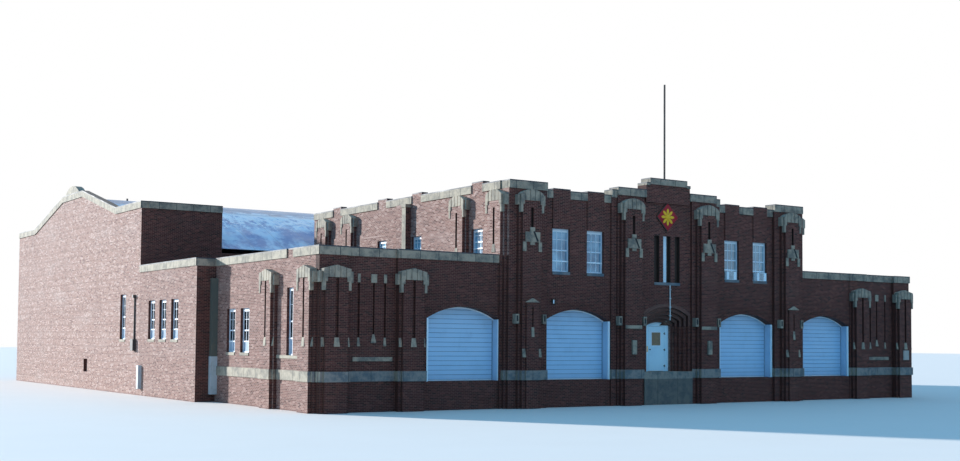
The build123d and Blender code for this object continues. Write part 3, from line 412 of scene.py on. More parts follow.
print("materials")
materials = {
    "brickwork": brickwork("brickwork", 0.7),
    "jambBrickwork": brickwork("jambBrickwork", 0.0),
    "archBrickwork": archBrickwork(),
    "coping": limestone("copingStone", 0.46, 0.014),
    "baseStone": limestone("baseStone", 0.62, 0.012, 0.38),
    "stepStone": limestone("stepStone", 0.62, 0.012, 0.25, 0.6),
    "sillStone": limestone("sillStone", 0.0, 0.0, 0.6),
    "dressedStone": limestone("dressedStone", 0.0),
    "concrete": concrete(),
    "rolledRoofing": rolledRoofing(),
    "vaultRoofing": vaultRoofing(),
    "whitePaint": enamel("whitePaint", rgb(0.74, 0.79, 0.85), rgb(0.42, 0.44, 0.46)),
    # painted light: the garage and entrance whites are tinted blue as by the sky, the garage one also dimmed
    # as in shade
    "skyShadedDoorWhite": enamel("skyShadedDoorWhite", rgb(0.52, 0.68, 0.84), rgb(0.40, 0.53, 0.66), 0.5),
    "skyLitEntranceWhite": enamel("skyLitEntranceWhite", rgb(0.80, 0.94, 0.98), rgb(0.62, 0.74, 0.82), 0.5),
    "paneShade": enamel("paneShade", rgb(0.42, 0.52, 0.62), rgb(0.26, 0.32, 0.38), 0.2, spread=8.0),
    "trimWhite": enamel("trimWhite", rgb(0.95, 0.96, 0.97), rgb(0.74, 0.78, 0.80), 0.5),
    # painted shade: the door slab behind the slats is darker and shows in the gaps
    "slatGapShade": enamel("slatGapShade", rgb(0.20, 0.29, 0.38), rgb(0.12, 0.17, 0.22), 0.6),
    "darkWood": enamel("darkWood", rgb(0.014, 0.011, 0.010), rgb(0.04, 0.034, 0.03), 0.7, spread=6.0,
                       coat=0.0),
    "capMetal": enamel("capMetal", rgb(0.018, 0.030, 0.045), rgb(0.05, 0.06, 0.065), 0.6, 0.1),
    "grooveShadowBrick": enamel("grooveShadowBrick", rgb(0.012, 0.006, 0.005), rgb(0.03, 0.014, 0.012), 0.9, spread=6.0,
                        coat=0.0),
    "crimson": enamel("crimson", rgb(0.36, 0.003, 0.012), rgb(0.18, 0.004, 0.01), 0.7, coat=0.0),
    "gold": enamel("gold", rgb(1.0, 0.52, 0.01), rgb(0.66, 0.32, 0.01), 0.6, spread=9.0, coat=0.0),
    "conduitPaint": enamel("conduitPaint", rgb(0.62, 0.64, 0.62), rgb(0.32, 0.28, 0.24), 0.5, spread=8.0),
    "olivePane": enamel("olivePane", rgb(0.12, 0.105, 0.06), rgb(0.33, 0.22, 0.08), 0.15, spread=14.0),
    "cutShadowStone": enamel("cutShadowStone", rgb(0.02, 0.022, 0.024), rgb(0.05, 0.05, 0.05), 0.9, spread=8.0,
                        coat=0.0),
    "panelPaint": enamel("panelPaint", rgb(0.44, 0.36, 0.31), rgb(0.24, 0.20, 0.17), 0.6, spread=8.0),
    "cabinetPaint": enamel("cabinetPaint", rgb(0.52, 0.55, 0.55), rgb(0.28, 0.27, 0.24), 0.6, spread=5.0),
    "darkSteel": enamel("darkSteel", rgb(0.045, 0.05, 0.052), rgb(0.14, 0.10, 0.07), 0.5, 0.4, 6.0),
    "ductPaint": enamel("ductPaint", rgb(0.10, 0.115, 0.10), rgb(0.20, 0.17, 0.12), 0.55, 0.2, 4.0),
    "brass": enamel("brass", rgb(0.55, 0.38, 0.12), rgb(0.16, 0.11, 0.05), 0.35, 0.9, 12.0),
    "glazing": glazing("glazing", rgb(0.10, 0.23, 0.32), rgb(0.32, 0.55, 0.66), 0.5, 0.5),
    "deepGlazing": glazing("deepGlazing", rgb(0.006, 0.008, 0.012), rgb(0.045, 0.055, 0.06), 0.0, 0.03),
}
bySlot = {"brick": "brickwork", "limestone": "dressedStone", "concrete": "concrete",
          "roofing": "rolledRoofing", "roof_metal": "vaultRoofing", "white_paint": "whitePaint",
          "red_enamel": "crimson", "grey_steel": "darkSteel", "window_glass": "glazing"}
byNode = {"portal_arch": "archBrickwork", "portal_jambs": "jambBrickwork", "house_coping": "coping",
          "wing_coping": "coping", "hall_coping": "coping", "base_course": "baseStone",
          "parapet_caps": "capMetal",
          "garage_doors": "slatGapShade", "garage_linings": "skyShadedDoorWhite", "entrance_door": "skyLitEntranceWhite",
          "door_frame": "skyLitEntranceWhite", "corner_duct": "ductPaint", "entrance_step": "stepStone",
          "wall_cabinets": "cabinetPaint", "window_sills": "sillStone", "lower_glass": "deepGlazing",
          "window_coolers": "trimWhite"}
for name, node in nodes.items():
    for place in node.material_slots:
        place.material = materials[byNode.get(name, bySlot[slotOf[name]])]


def block(bm, x0, x1, y0, y1, z0, z1, bevel=0.0):
    # a box between two corners, with its edges rounded by the bevel
    middle = Vector((x0 + x1, y0 + y1, z0 + z1)) / 2
    size = Matrix.Diagonal((abs(x1 - x0), abs(y1 - y0), abs(z1 - z0), 1.0))
    made = bmesh.ops.create_cube(bm, size=1.0, matrix=Matrix.Translation(middle) @ size)["verts"]
    if bevel:
        edges = {edge for vert in made for edge in vert.link_edges}
        out = bmesh.ops.bevel(bm, geom=list(edges), offset=bevel, segments=1, profile=0.5, affect="EDGES",
                              material=-1)
        made = list({vert for face in out["faces"] for vert in face.verts})
    return made


def domed(bm, x0, x1, y0, y1, z0, top, steps=4):
    # a block whose top follows top(x), from a grid that is pulled up and given its depth
    face = Matrix.Translation(((x0 + x1) / 2, y0, 0)) @ Matrix.Rotation(math.pi / 2, 4, "X")
    face = face @ Matrix.Diagonal((x1 - x0, 1.0, 1.0, 1.0))
    made = bmesh.ops.create_grid(bm, x_segments=steps, y_segments=1, size=0.5, matrix=face)["verts"]
    for vert in made:
        vert.co.z = top(vert.co.x) if vert.co.z > 0 else z0
    faces = list({near for vert in made for near in vert.link_faces})
    out = bmesh.ops.extrude_face_region(bm, geom=faces)["geom"]
    pulled = [item for item in out if isinstance(item, bmesh.types.BMVert)]
    bmesh.ops.translate(bm, vec=(0, y1 - y0, 0), verts=pulled)
    return made + pulled


def moved(bm, verts, matrix):
    bmesh.ops.transform(bm, matrix=matrix, verts=verts)


def cone(bm, at, foot, top, height, sides):
    # an upright closed cone or rod about its middle
    made = bmesh.ops.create_cone(bm, cap_ends=True, segments=sides, radius1=foot, radius2=top, depth=height)
    moved(bm, made["verts"], Matrix.Translation(at))


def turnedAt(at, angle):
    # a turn in the plane of the front, and then a move
    return Matrix.Translation(at) @ Matrix.Rotation(angle, 4, "Y")


def arcRadius(half, rise):
    # radius of an arc that is twice the half wide and rises so high
    return (half * half + rise * rise) / (2 * rise)


def piece(name, bm, material, body="building"):
    bmesh.ops.recalc_face_normals(bm, faces=bm.faces)
    mesh = bpy.data.meshes.new(name)
    bm.to_mesh(mesh)
    bm.free()
    made = bpy.data.objects.new(name, mesh)
    bpy.context.scene.collection.objects.link(made)
    mesh.materials.append(materials[material])
    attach(made, body)
    return made


def solidBoxes(name):
    # lowest and highest corner of each separate solid of a CAD node
    bm = bmesh.new()
    bm.from_mesh(nodes[name].data)
    bmesh.ops.remove_doubles(bm, verts=bm.verts, dist=0.00001)
    left = set(bm.verts)
    boxes = []
    while left:
        group, edge = set(), [left.pop()]
        while edge:
            vert = edge.pop()
            group.add(vert)
            near = {link.other_vert(vert) for link in vert.link_edges} & left
            left -= near
            edge += near
        points = [vert.co for vert in group]
        boxes.append((Vector([min(p[i] for p in points) for i in range(3)]),
                      Vector([max(p[i] for p in points) for i in range(3)])))
    bm.free()
    return sorted(boxes, key=lambda box: tuple(round(value, 3) for value in box[0]))


def onWall(box, long=None):
    # for a solid on a wall: the matrix from shapes made facing the front, and its width, depth and height
    low, high = box
    size = high - low
    middle = (low + high) / 2
    facesFront = size.x >= size.y if long is None else long
    if facesFront:
        turn, at, width, depth = 0.0, (middle.x, high.y, low.z), size.x, size.y
    elif middle.x < middleX:
        turn, at, width, depth = -90.0, (high.x, middle.y, low.z), size.y, size.x
    else:
        turn, at, width, depth = 90.0, (low.x, middle.y, low.z), size.y, size.x
    place = Matrix.Translation(at) @ Matrix.Rotation(math.radians(turn), 4, "Z")
    return place, width, depth, size.z


windowLook = {"slot": 0.3, "narrow": 0.4, "edge": 0.03, "bar": 0.01, "set": 0.008, "rows": 4, "columns": 3,
              "narrowColumns": 2, "heavy": 0.03, "proud": 0.006, "head": 0.07, "shade": 0.012, "bevel": 0.003}


def windowBars():
    # light glazing bars in even rows, a heavy rail a quarter of the way up and a pale head
    # the slots stay bare, and the lower windows have pale lowest panes
    look = windowLook
    bm = bmesh.new()
    shades = bmesh.new()
    bar, heavy = look["bar"] / 2, look["heavy"] / 2
    for name in ("upper_windows", "lower_windows"):
        for box in solidBoxes(name):
            place, width, depth, height = onWall(box)
            if width < look["slot"] and name == "upper_windows":
                continue
            inner = width / 2 - look["edge"]
            front, back, proud = -depth + look["set"], -depth / 2, -depth - look["proud"]
            columns = look["columns"] if width > look["narrow"] else look["narrowColumns"]
            verts = []
            for column in range(1, columns):
                x = -inner + 2 * inner * column / columns
                verts += block(bm, x - bar, x + bar, front, back, look["edge"], height - look["edge"])
            for row in range(2, look["rows"]):
                z = height * row / look["rows"]
                verts += block(bm, -inner, inner, front, back, z - bar, z + bar)
            rail = height / look["rows"]
            if name == "lower_windows":
                made = block(shades, -inner, inner, -depth + look["shade"], back, look["edge"], rail)
                moved(shades, made, place)
            verts += block(bm, -width / 2, width / 2, proud, back, rail - heavy, rail + heavy, look["bevel"])
            verts += block(bm, -inner, inner, proud, back, height - look["head"], height - look["edge"],
                           look["bevel"])
            moved(bm, verts, place)
    piece("windowBars", bm, "trimWhite")
    piece("windowShades", shades, "paneShade")


slotLook = {"wide": 0.2, "open": 0.17, "board": 0.006, "panel": 0.012, "panelSide": 0.03, "panelFoot": 0.06,
            "jamb": 0.003, "jambDepth": 0.132, "light": 0.004, "lightSide": 0.02, "bars": 3, "barProud": 0.01,
            "barHalf": 0.008, "bevel": 0.002}


def slotBoards():
    # dark boards over the three narrow windows, with one light left open in the middle one, and dark strips
    # on the jambs for painted shade
    look = slotLook
    boards = bmesh.new()
    strip = bmesh.new()
    for box in solidBoxes("upper_windows"):
        place, width, depth, height = onWall(box)
        if width > windowLook["slot"]:
            continue
        wide = width > look["wide"]
        half = width / 2
        left = look["open"] - half if wide else -half
        border, foot = look["panelSide"], look["panelFoot"]
        verts = block(boards, left, half, -depth - look["board"], -depth, 0.0, height, look["bevel"])
        verts += block(boards, left + border, half - border, -depth - look["panel"], -depth, foot,
                       height - foot, look["bevel"])
        # painted shade: thin dark plates line the jambs
        for side in (-1, 1):
            verts += block(boards, side * half, side * (half - look["jamb"]), -look["jambDepth"], -depth, 0.0,
                           height)
        moved(boards, verts, place)
        if wide:
            start = look["lightSide"] - half
            verts = block(strip, start, left, -depth - look["light"], -depth, 0.0, height, look["bevel"])
            for row in range(1, look["bars"] + 1):
                z = height * row / (look["bars"] + 1)
                verts += block(strip, start, left, -depth - look["barProud"], -depth, z - look["barHalf"],
                               z + look["barHalf"])
            moved(strip, verts, place)
    piece("slotBoards", boards, "darkWood")
    piece("slotLight", strip, "trimWhite")


garageLook = {"lap": 0.04, "reveal": 0.235, "margin": 0.05, "slat": 0.098, "gap": 0.009, "proud": 0.012,
              "foot": 0.035, "trim": 0.042, "trimProud": 0.006, "trimDepth": 0.03, "trimBevel": 0.003,
              "sillLow": 0.004, "sillHigh": 0.028, "sillProud": 0.016, "arch": 0.028, "archProud": 0.02,
              "archSteps": 24, "bevel": 0.002}


def archHalf(z, half, spring, rise):
    # half of an arched opening's width at height z
    if z <= spring:
        return half
    radius = arcRadius(half, rise)
    up = z - (spring + rise - radius)
    return math.sqrt(max(radius * radius - up * up, 0.0))


def garageShapes():
    # centre, face, half width, spring and rise of each garage, from its door slab and linings
    lap = garageLook["lap"]
    spring = solidBoxes("garage_linings")[0][1].z
    return [((low.x + high.x) / 2, low.y, (high.x - low.x) / 2 - lap, spring, high.z - lap - spring)
            for low, high in solidBoxes("garage_doors")]


def garageSlats():
    # slats with painted shade between them, from the darker slab behind, and pale trim on the jambs, round
    # the arch and along the foot
    look = garageLook
    bm = bmesh.new()
    trim = bmesh.new()
    for centre, face, half, spring, rise in garageShapes():
        inner = half - look["margin"]
        z = paving + look["foot"]
        while z < spring + rise:
            top = min(z + look["slat"] - look["gap"], spring + rise)
            wide = min(inner, archHalf(z, half, spring, rise))
            block(bm, centre - wide, centre + wide, face - look["proud"], face, z, top, look["bevel"])
            z += look["slat"]
        front = face - look["reveal"]
        for side in (-1, 1):
            block(trim, centre + side * half, centre + side * (half - look["trim"]),
                  front - look["trimProud"], front + look["trimDepth"], paving, spring, look["trimBevel"])
        block(trim, centre - inner, centre + inner, face - look["sillProud"], face, paving + look["sillLow"],
              paving + look["sillHigh"], look["bevel"])
        radius = arcRadius(half, rise)
        sweep = math.asin(half / radius)
        steps = look["archSteps"]
        reach = sweep * radius / steps
        for step in range(steps):
            angle = sweep * (2 * (step + 0.5) / steps - 1)
            verts = block(trim, -reach, reach, face - look["archProud"], face, radius - look["arch"], radius)
            moved(trim, verts, turnedAt((centre, 0, spring + rise - radius), angle))
    piece("garageSlats", bm, "skyShadedDoorWhite")
    piece("garageTrim", trim, "trimWhite")


ringLook = {"count": 3, "height": 0.052, "proud": 0.003, "depth": 0.01, "gap": 0.005}


def archBricks():
    # rings of bricks on edge over each garage, each a little proud of the wall
    look = ringLook
    bm = bmesh.new()
    for centre, face, half, spring, rise in garageShapes():
        radius = arcRadius(half, rise)
        sweep = math.asin(half / radius)
        front = face - garageLook["reveal"]
        for course in range(look["count"]):
            inside = radius + course * look["height"]
            number = round(2 * sweep * inside / brick["course"])
            width = 2 * sweep * inside / number - look["gap"]
            for index in range(number):
                angle = -sweep + (index + 0.5) * 2 * sweep / number
                verts = block(bm, -width / 2, width / 2, front - look["proud"], front + look["depth"],
                              inside + look["gap"] / 2, inside + look["height"] - look["gap"] / 2)
                moved(bm, verts, turnedAt((centre, 0, spring + rise - radius), angle))
    piece("archBricks", bm, "brickwork")


hoodLook = {"side": 0.06, "houseRise": 0.12, "wingRise": 0.08, "foot": 0.26, "staves": 4, "ends": 0.62,
            "gap": 0.018, "back": 0.006, "core": 0.01, "coreBack": 0.02, "coreSteps": 8, "drop": 0.06,
            "shoulder": 0.095, "dropDepth": 0.07, "dropTop": 0.08, "shoulderFoot": 0.085, "earDepth": 0.115,
            "earFoot": 0.1, "earTop": 0.12, "bevel": 0.004}


def stoneHoods():
    # each hood is a row of upright stones under an arched or gabled top, with drops and side stones
    look = hoodLook
    bm = bmesh.new()
    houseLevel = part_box("upper_glass")[1].z
    for box in solidBoxes("stone_hoods"):
        place, width, depth, height = onWall(box)
        arched = box[1].z > houseLevel
        half = width / 2 - look["side"]
        rise = look["houseRise"] if arched else look["wingRise"]
        foot = look["foot"]
        radius = arcRadius(half, rise)

        def top(x):
            if arched:
                return height - radius + math.sqrt(max(radius * radius - x * x, 0.0))
            return height - rise * abs(x) / half

        verts = []
        ends = half * look["ends"]
        cuts = [-half] + [-ends + 2 * ends * i / (look["staves"] - 1) for i in range(look["staves"])] + [half]
        for x0, x1 in zip(cuts, cuts[1:]):
            back = 0.0 if x0 in (-half, ends) else look["back"]
            verts += domed(bm, x0 + look["gap"] / 2, x1 - look["gap"] / 2, -depth + back, 0.0, foot, top)
        core = look["core"]
        verts += domed(bm, -half + core, half - core, -depth + look["coreBack"], -core, foot + core,
                       lambda x: top(x) - core, look["coreSteps"])
        for side in (-1, 1):
            outer = side * half
            verts += block(bm, outer, side * (half - look["drop"]), -depth + look["back"], -look["dropDepth"],
                           0.0, foot - look["dropTop"], look["bevel"])
            verts += block(bm, outer, side * (half - look["shoulder"]), -depth, -look["dropDepth"],
                           foot - look["shoulderFoot"], foot, look["bevel"])
            verts += block(bm, outer, side * width / 2, -look["earDepth"], 0.0, foot - look["earFoot"],
                           foot + look["earTop"], look["bevel"])
        moved(bm, verts, place)
    hoods = piece("stoneHoods", bm, "dressedStone")
    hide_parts("stone_hoods")


grooveLook = {"half": 0.035, "face": 0.14, "depth": 0.05, "skin": 0.002, "lip": 0.004, "houseTop": 0.11,
              "wingTop": 0.26, "frontFoot": 0.35, "sideFoot": 0.685, "wingFoot": 0.925}


def grooveShadeLinings():
    # dark sheets on the back and the jambs of the grooves under the hoods for painted shade, but for those on
    # the wings' fronts
    look = grooveLook
    bm = bmesh.new()
    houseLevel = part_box("upper_glass")[1].z
    half, skin = look["half"], look["skin"]
    front, back = look["lip"] - look["face"], look["depth"] - look["face"]
    for box in solidBoxes("stone_hoods"):
        onHouse = box[1].z > houseLevel
        onFront = box[1].x - box[0].x > box[1].y - box[0].y
        if onHouse:
            foot = look["frontFoot"] if onFront else look["sideFoot"]
            top = look["houseTop"]
        elif onFront:
            continue
        else:
            foot, top = look["wingFoot"], look["wingTop"]
        # painted shade: thin dark plates line the groove
        verts = block(bm, -half, half, back - skin, back, -foot, top)
        for side in (-1, 1):
            verts += block(bm, side * half, side * (half - skin), front, back, -foot, top)
        moved(bm, verts, onWall(box)[0])
    piece("grooveShadeLinings", bm, "grooveShadowBrick")


carvingLook = {"large": 0.4, "down": 0.20, "across": 0.10, "right": 0.075, "width": 0.042, "half": 0.12,
               "shieldWidth": 0.09, "shieldHeight": 0.205, "near": 0.01, "rim": 0.022, "foot": 0.05,
               "head": 0.03, "proud": 0.003, "depth": 0.01, "bevel": 0.002}


def carvingCutShadows():
    # dark strips for the painted shadow of the slanting cut across each large carved stone of the front, and
    # painted shade in the hollows of the shields
    look = carvingLook
    bm = bmesh.new()
    for low, high in solidBoxes("carved_stones"):
        size = high - low
        front, back = low.y - look["proud"], low.y + look["depth"]
        shield = (abs(size.x - look["shieldWidth"]) < look["near"] and
                  abs(size.z - look["shieldHeight"]) < look["near"])
        if size.z > look["large"] and size.x > look["large"]:
            verts = block(bm, -look["width"] / 2, look["width"] / 2, front, back, -look["half"], look["half"])
            at = ((low.x + high.x) / 2 + look["right"], 0, high.z - look["down"])
            moved(bm, verts, turnedAt(at, math.atan2(-look["across"], look["down"])))
        elif shield:
            block(bm, low.x + look["rim"], high.x - look["rim"], front, back, low.z + look["foot"],
                  high.z - look["head"], look["bevel"])
    piece("carvingCutShadows", bm, "cutShadowStone")


emblemLook = {"edge": 0.028, "bevel": 0.003, "petals": 8, "petal": 0.125, "length": 0.075, "width": 0.036,
              "depth": 0.014, "boss": 0.065, "flat": 0.5}


def emblem():
    # a round boss with petals in gold on the crimson board, and dark strips along its left edges for painted
    # shade
    look = emblemLook
    low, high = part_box("emblem_board")
    centre = (low + high) / 2
    face = Matrix.Translation((centre.x, low.y, centre.z))
    bm = bmesh.new()
    side = (high.x - low.x) / 2 * math.sqrt(2)
    # painted shade on the board's left edges
    for turn in (-45, -135):
        verts = block(bm, -side / 2, side / 2, 0.0, high.y - low.y, side / 2, side / 2 + look["edge"],
                      look["bevel"])
        moved(bm, verts, turnedAt((0, 0, 0), math.radians(turn)))
    moved(bm, bm.verts, face)
    piece("emblemShadeEdges", bm, "darkWood")
    bm = bmesh.new()
    shape = Matrix.Diagonal((look["width"], look["depth"], look["length"], 1))
    for petal in range(look["petals"]):
        made = bmesh.ops.create_uvsphere(bm, u_segments=16, v_segments=8, radius=1.0)["verts"]
        turn = turnedAt((0, 0, 0), 2 * math.pi * petal / look["petals"])
        moved(bm, made, turn @ Matrix.Translation((0, 0, look["petal"])) @ shape)
    made = bmesh.ops.create_uvsphere(bm, u_segments=24, v_segments=12, radius=look["boss"])["verts"]
    moved(bm, made, Matrix.Diagonal((1, look["flat"], 1, 1)))
    moved(bm, bm.verts, face)
    piece("emblemRosette", bm, "gold")


doorLook = {"left": -0.145, "right": 0.125, "low": 0.775, "high": 1.08, "trim": 0.022, "proud": 0.006,
            "kick": 0.02, "pane": 0.003, "light": 0.004, "border": 0.03, "bar": 0.01, "edge": 0.028,
            "edgeProud": 0.008, "edgeTop": 0.09, "lockLeft": 0.05, "lockRight": 0.02, "lockLow": 0.62,
            "lockHigh": 0.76, "bevel": 0.002}


def doorDetails():
    # a trimmed window in the leaf with a kick strip, pale edges on the frame and a lock plate beside the leaf
    look = doorLook
    face, trim, bevel = doorLow.y, look["trim"], look["bevel"]
    proud = face - look["proud"]
    left, right = middleX + look["left"], middleX + look["right"]
    low, high = paving + look["low"], paving + look["high"]
    bm = bmesh.new()
    block(bm, left - trim, right + trim, proud, face, high, high + trim, bevel)
    block(bm, left - trim, right + trim, proud, face, low - trim, low, bevel)
    block(bm, left - trim, left, proud, face, low, high, bevel)
    block(bm, right, right + trim, proud, face, low, high, bevel)
    block(bm, doorLow.x, doorHigh.x, proud, face, doorLow.z, doorLow.z + look["kick"], bevel)
    piece("doorWindowTrim", bm, "trimWhite", "door")
    bm = bmesh.new()
    border, middle = look["border"], (low + high) / 2
    block(bm, left, right, face - look["pane"], face, low, high)
    for z0, z1 in ((low + border, middle - look["bar"]), (middle + look["bar"], high - border)):
        block(bm, left + border, right - border, face - look["light"], face, z0, z1)
    piece("doorWindowPane", bm, "olivePane", "door")
    bm = bmesh.new()
    frameLow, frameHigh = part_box("door_frame")
    for side in (frameLow.x, frameHigh.x - look["edge"]):
        block(bm, side, side + look["edge"], face - look["edgeProud"], face, frameLow.z,
              frameHigh.z - look["edgeTop"], bevel)
    piece("frameEdges", bm, "trimWhite")
    bm = bmesh.new()
    block(bm, doorLow.x - look["lockLeft"], doorLow.x - look["lockRight"], proud, face,
          paving + look["lockLow"], paving + look["lockHigh"], bevel)
    piece("lockPlate", bm, "brass")


conduitLook = {"aside": 0.09, "foot": 1.37, "radius": 0.014, "set": 0.038, "wall": 0.05, "saddles": 4,
               "saddle": 0.028, "saddleProud": 0.02, "saddleHalf": 0.008, "sides": 16, "bevel": 0.002}


def conduit():
    # a pale sleeve round the conduit over the door, with saddles that hold it
    look = conduitLook
    bm = bmesh.new()
    x, y = middleX + look["aside"], pierFace + look["set"]
    bottom = paving + look["foot"]
    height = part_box("outdoor_lamps")[1].z - bottom
    cone(bm, (x, y, bottom + height / 2), look["radius"], look["radius"], height, look["sides"])
    for saddle in range(look["saddles"]):
        z = bottom + height * (saddle + 0.5) / look["saddles"]
        block(bm, x - look["saddle"], x + look["saddle"], y - look["saddleProud"], pierFace + look["wall"],
              z - look["saddleHalf"], z + look["saddleHalf"], look["bevel"])
    piece("conduitSleeve", bm, "conduitPaint")


lensLook = {"aside": 0.5, "tall": 0.3, "left": 0.008, "right": 0.02, "foot": 0.01, "head": 0.02,
            "proud": 0.004, "depth": 0.01, "bevel": 0.002}


def lampLenses():
    # a pale lens on each lamp that sits on the brick beside the arches
    look = lensLook
    bm = bmesh.new()
    for low, high in solidBoxes("outdoor_lamps"):
        if abs((low.x + high.x) / 2 - middleX) < look["aside"] or high.z - low.z > look["tall"]:
            continue
        block(bm, low.x + look["left"], high.x - look["right"], low.y - look["proud"], low.y + look["depth"],
              low.z + look["foot"], high.z - look["head"], look["bevel"])
    piece("lampLenses", bm, "trimWhite")


grilleLook = {"bars": 9, "edge": 0.02, "left": 0.28, "right": 0.22, "proud": 0.004, "half": 0.004}


def coolerGrilles():
    # a louvred intake in the middle of each cooler's face
    look = grilleLook
    bm = bmesh.new()
    for box in solidBoxes("window_coolers"):
        place, width, depth, height = onWall(box, True)
        verts = []
        for bar in range(look["bars"]):
            z = look["edge"] + bar * (height - 2 * look["edge"]) / (look["bars"] - 1)
            verts += block(bm, -width * look["left"], width * look["right"], -depth - look["proud"], -depth,
                           z - look["half"], z + look["half"])
        moved(bm, verts, place)
    piece("coolerGrilles", bm, "darkSteel")


shadeLook = {"x": -0.15, "z": 1.275, "top": 0.03, "foot": 0.1, "height": 0.07, "arm": 0.012, "lift": 0.015,
             "wall": 0.04, "sides": 24, "bevel": 0.002}


def lampShade():
    # the flared shade and the arm of the lamp over the entrance
    look = shadeLook
    bm = bmesh.new()
    x, y, z = middleX + look["x"], pierFace, paving + look["z"]
    cone(bm, (x, y, z), look["foot"], look["top"], look["height"], look["sides"])
    arm, bevel = look["arm"], look["bevel"]
    low, high = z + look["lift"], z + look["lift"] + 2 * arm
    end = middleX + conduitLook["aside"]
    block(bm, x, end, y - arm, y + arm, low, high, bevel)
    block(bm, end - arm, end + arm, y - arm, y + look["wall"], low, high, bevel)
    piece("lampShade", bm, "darkWood")


panelLook = {"front": 0.6, "wide": 0.4, "face": 0.14, "half": 0.115, "low": 0.20, "high": 0.46,
             "thick": 0.022, "border": 0.02, "raised": 0.004, "bevel": 0.004, "raisedBevel": 0.002}


def cornerPanel():
    # a small bare panel on the right wing's outer pier
    look = panelLook
    hoods = [box for box in solidBoxes("stone_hoods")
             if box[0].y < pierFace + look["front"] and box[1].x - box[0].x > look["wide"]]
    low, high = max(hoods, key=lambda box: box[0].x + box[1].x)
    centre = (low.x + high.x) / 2
    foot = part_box("base_course")[1].z
    y = high.y - look["face"]
    bm = bmesh.new()
    for border, raised, bevel in ((0.0, 0.0, look["bevel"]),
                                  (look["border"], look["raised"], look["raisedBevel"])):
        half = look["half"] - border
        block(bm, centre - half, centre + half, y - look["thick"] - raised, y, foot + look["low"] + border,
              foot + look["high"] - border, bevel)
    piece("cornerPanel", bm, "panelPaint")


pierLook = {"y": 4.153, "width": 0.18, "skin": 0.006, "above": 0.002, "cap": 0.07, "lip": 0.02, "reach": 0.14,
            "over": 0.01, "bevel": 0.004}


def pierFaces():
    # the rendered face and the cap stone of the plain pier on each side of the house
    look = pierLook
    bm = bmesh.new()
    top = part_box("stone_hoods")[1].z
    y0, y1, lip = pierFace + look["y"], pierFace + look["y"] + look["width"], look["lip"]
    outer = (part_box("house_upper_wall_left")[0].x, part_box("house_upper_wall_right")[1].x)
    for side, x in zip((-1, 1), outer):
        block(bm, x + side * look["skin"], x, y0, y1, wingTop + look["above"], top - look["cap"])
        block(bm, x + side * lip, x - side * look["reach"], y0 - lip, y1 + lip, top - look["cap"],
              top + look["over"], look["bevel"])
    piece("pierFaces", bm, "dressedStone")


print("pieces")
windowBars()
slotBoards()
garageSlats()
archBricks()
stoneHoods()
grooveShadeLinings()
carvingCutShadows()
emblem()
doorDetails()
conduit()
lampLenses()
coolerGrilles()
lampShade()
cornerPanel()
pierFaces()

view = {"place": (middleX - 19.97, pierFace - 21.99, paving + 0.8405), "yaw": 0.588, "pitch": 0.045,
        "roll": 0.008, "lens": 47.0, "shift": 0.0565, "far": 500.0}


def camera():
    # at the photograph's viewing angle
    yaw, pitch = view["yaw"], view["pitch"]
    ahead = Vector((math.sin(yaw) * math.cos(pitch), math.cos(yaw) * math.cos(pitch), math.sin(pitch)))
    right = Vector((math.cos(yaw), -math.sin(yaw), 0.0))
    up = right.cross(ahead)
    level = Matrix((right, up, -ahead)).transposed().to_4x4()
    data = bpy.data.cameras.new("photoCamera")
    data.lens = view["lens"]
    data.shift_y = view["shift"]
    data.clip_end = view["far"]
    made = bpy.data.objects.new("photoCamera", data)
    made.matrix_world = Matrix.Translation(view["place"]) @ level @ Matrix.Rotation(view["roll"], 4, "Z")
    bpy.context.scene.collection.objects.link(made)
    bpy.context.scene.camera = made


studio = {"sun": 6.9, "softness": 2.5, "from": (-1.0, 1.8, 0.50), "fill": 0.83,
          "fillColour": rgb(0.165, 0.54, 1.0), "floor": 160.0, "floorGap": 0.002,
          "floorTones": (rgb(0.84, 0.75, 0.66), rgb(0.88, 0.79, 0.70))}


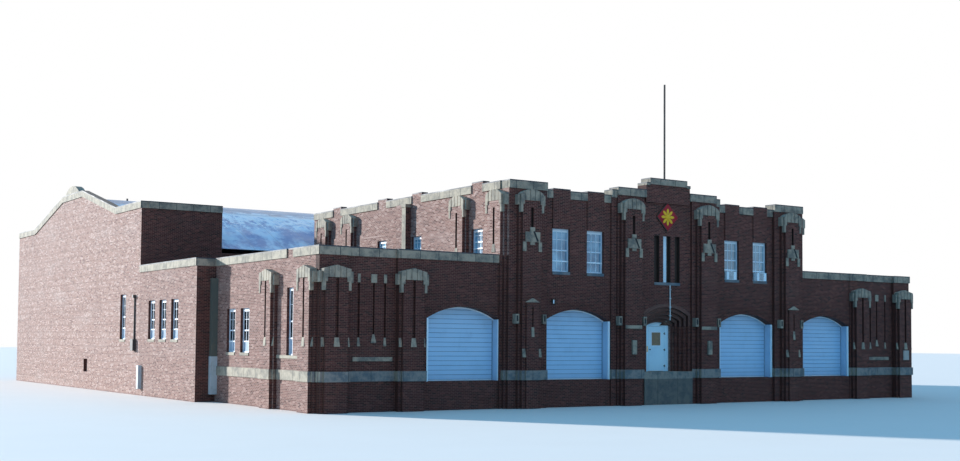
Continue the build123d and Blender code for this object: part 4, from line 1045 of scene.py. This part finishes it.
def light():
    # a soft key from behind the left side and an even fill, with white where the camera or glass sees the sky
    data = bpy.data.lights.new("softKey", "SUN")
    data.energy = studio["sun"]
    data.angle = math.radians(studio["softness"])
    key = bpy.data.objects.new("softKey", data)
    key.rotation_mode = "QUATERNION"
    key.rotation_quaternion = Vector(studio["from"]).to_track_quat("Z", "Y")
    bpy.context.scene.collection.objects.link(key)
    world = bpy.data.worlds.new("studio")
    bpy.context.scene.world = world
    world.use_nodes = True
    tree = world.node_tree
    tree.nodes.clear()
    path = tree.nodes.new("ShaderNodeLightPath")
    seen = path.outputs["Is Camera Ray"]
    for output in ("Is Glossy Ray", "Is Transmission Ray"):
        either = tree.nodes.new("ShaderNodeMath")
        either.operation = "MAXIMUM"
        tree.links.new(seen, either.inputs[0])
        tree.links.new(path.outputs[output], either.inputs[1])
        seen = either.outputs[0]
    white = tree.nodes.new("ShaderNodeBackground")
    fill = tree.nodes.new("ShaderNodeBackground")
    white.inputs["Color"].default_value = rgb(1, 1, 1)
    fill.inputs["Color"].default_value = studio["fillColour"]
    fill.inputs["Strength"].default_value = studio["fill"]
    either = tree.nodes.new("ShaderNodeMixShader")
    tree.links.new(seen, either.inputs["Fac"])
    tree.links.new(fill.outputs[0], either.inputs[1])
    tree.links.new(white.outputs[0], either.inputs[2])
    out = tree.nodes.new("ShaderNodeOutputWorld")
    tree.links.new(either.outputs[0], out.inputs["Surface"])


def floor():
    paint = Paint("paleFloor", 0.9)
    paint.set("Base Color", paint.mix(paint.noise(0.6, 4.0), *studio["floorTones"]))
    bm = bmesh.new()
    bmesh.ops.create_grid(bm, x_segments=1, y_segments=1, size=studio["floor"])
    mesh = bpy.data.meshes.new("studioFloor")
    bm.to_mesh(mesh)
    bm.free()
    made = bpy.data.objects.new("studioFloor", mesh)
    made.location.z = cadBox[0].z - studio["floorGap"]
    mesh.materials.append(paint.material)
    bpy.context.scene.collection.objects.link(made)


print("studio")
camera()
light()
floor()
bpy.context.scene.view_settings.view_transform = "Standard"
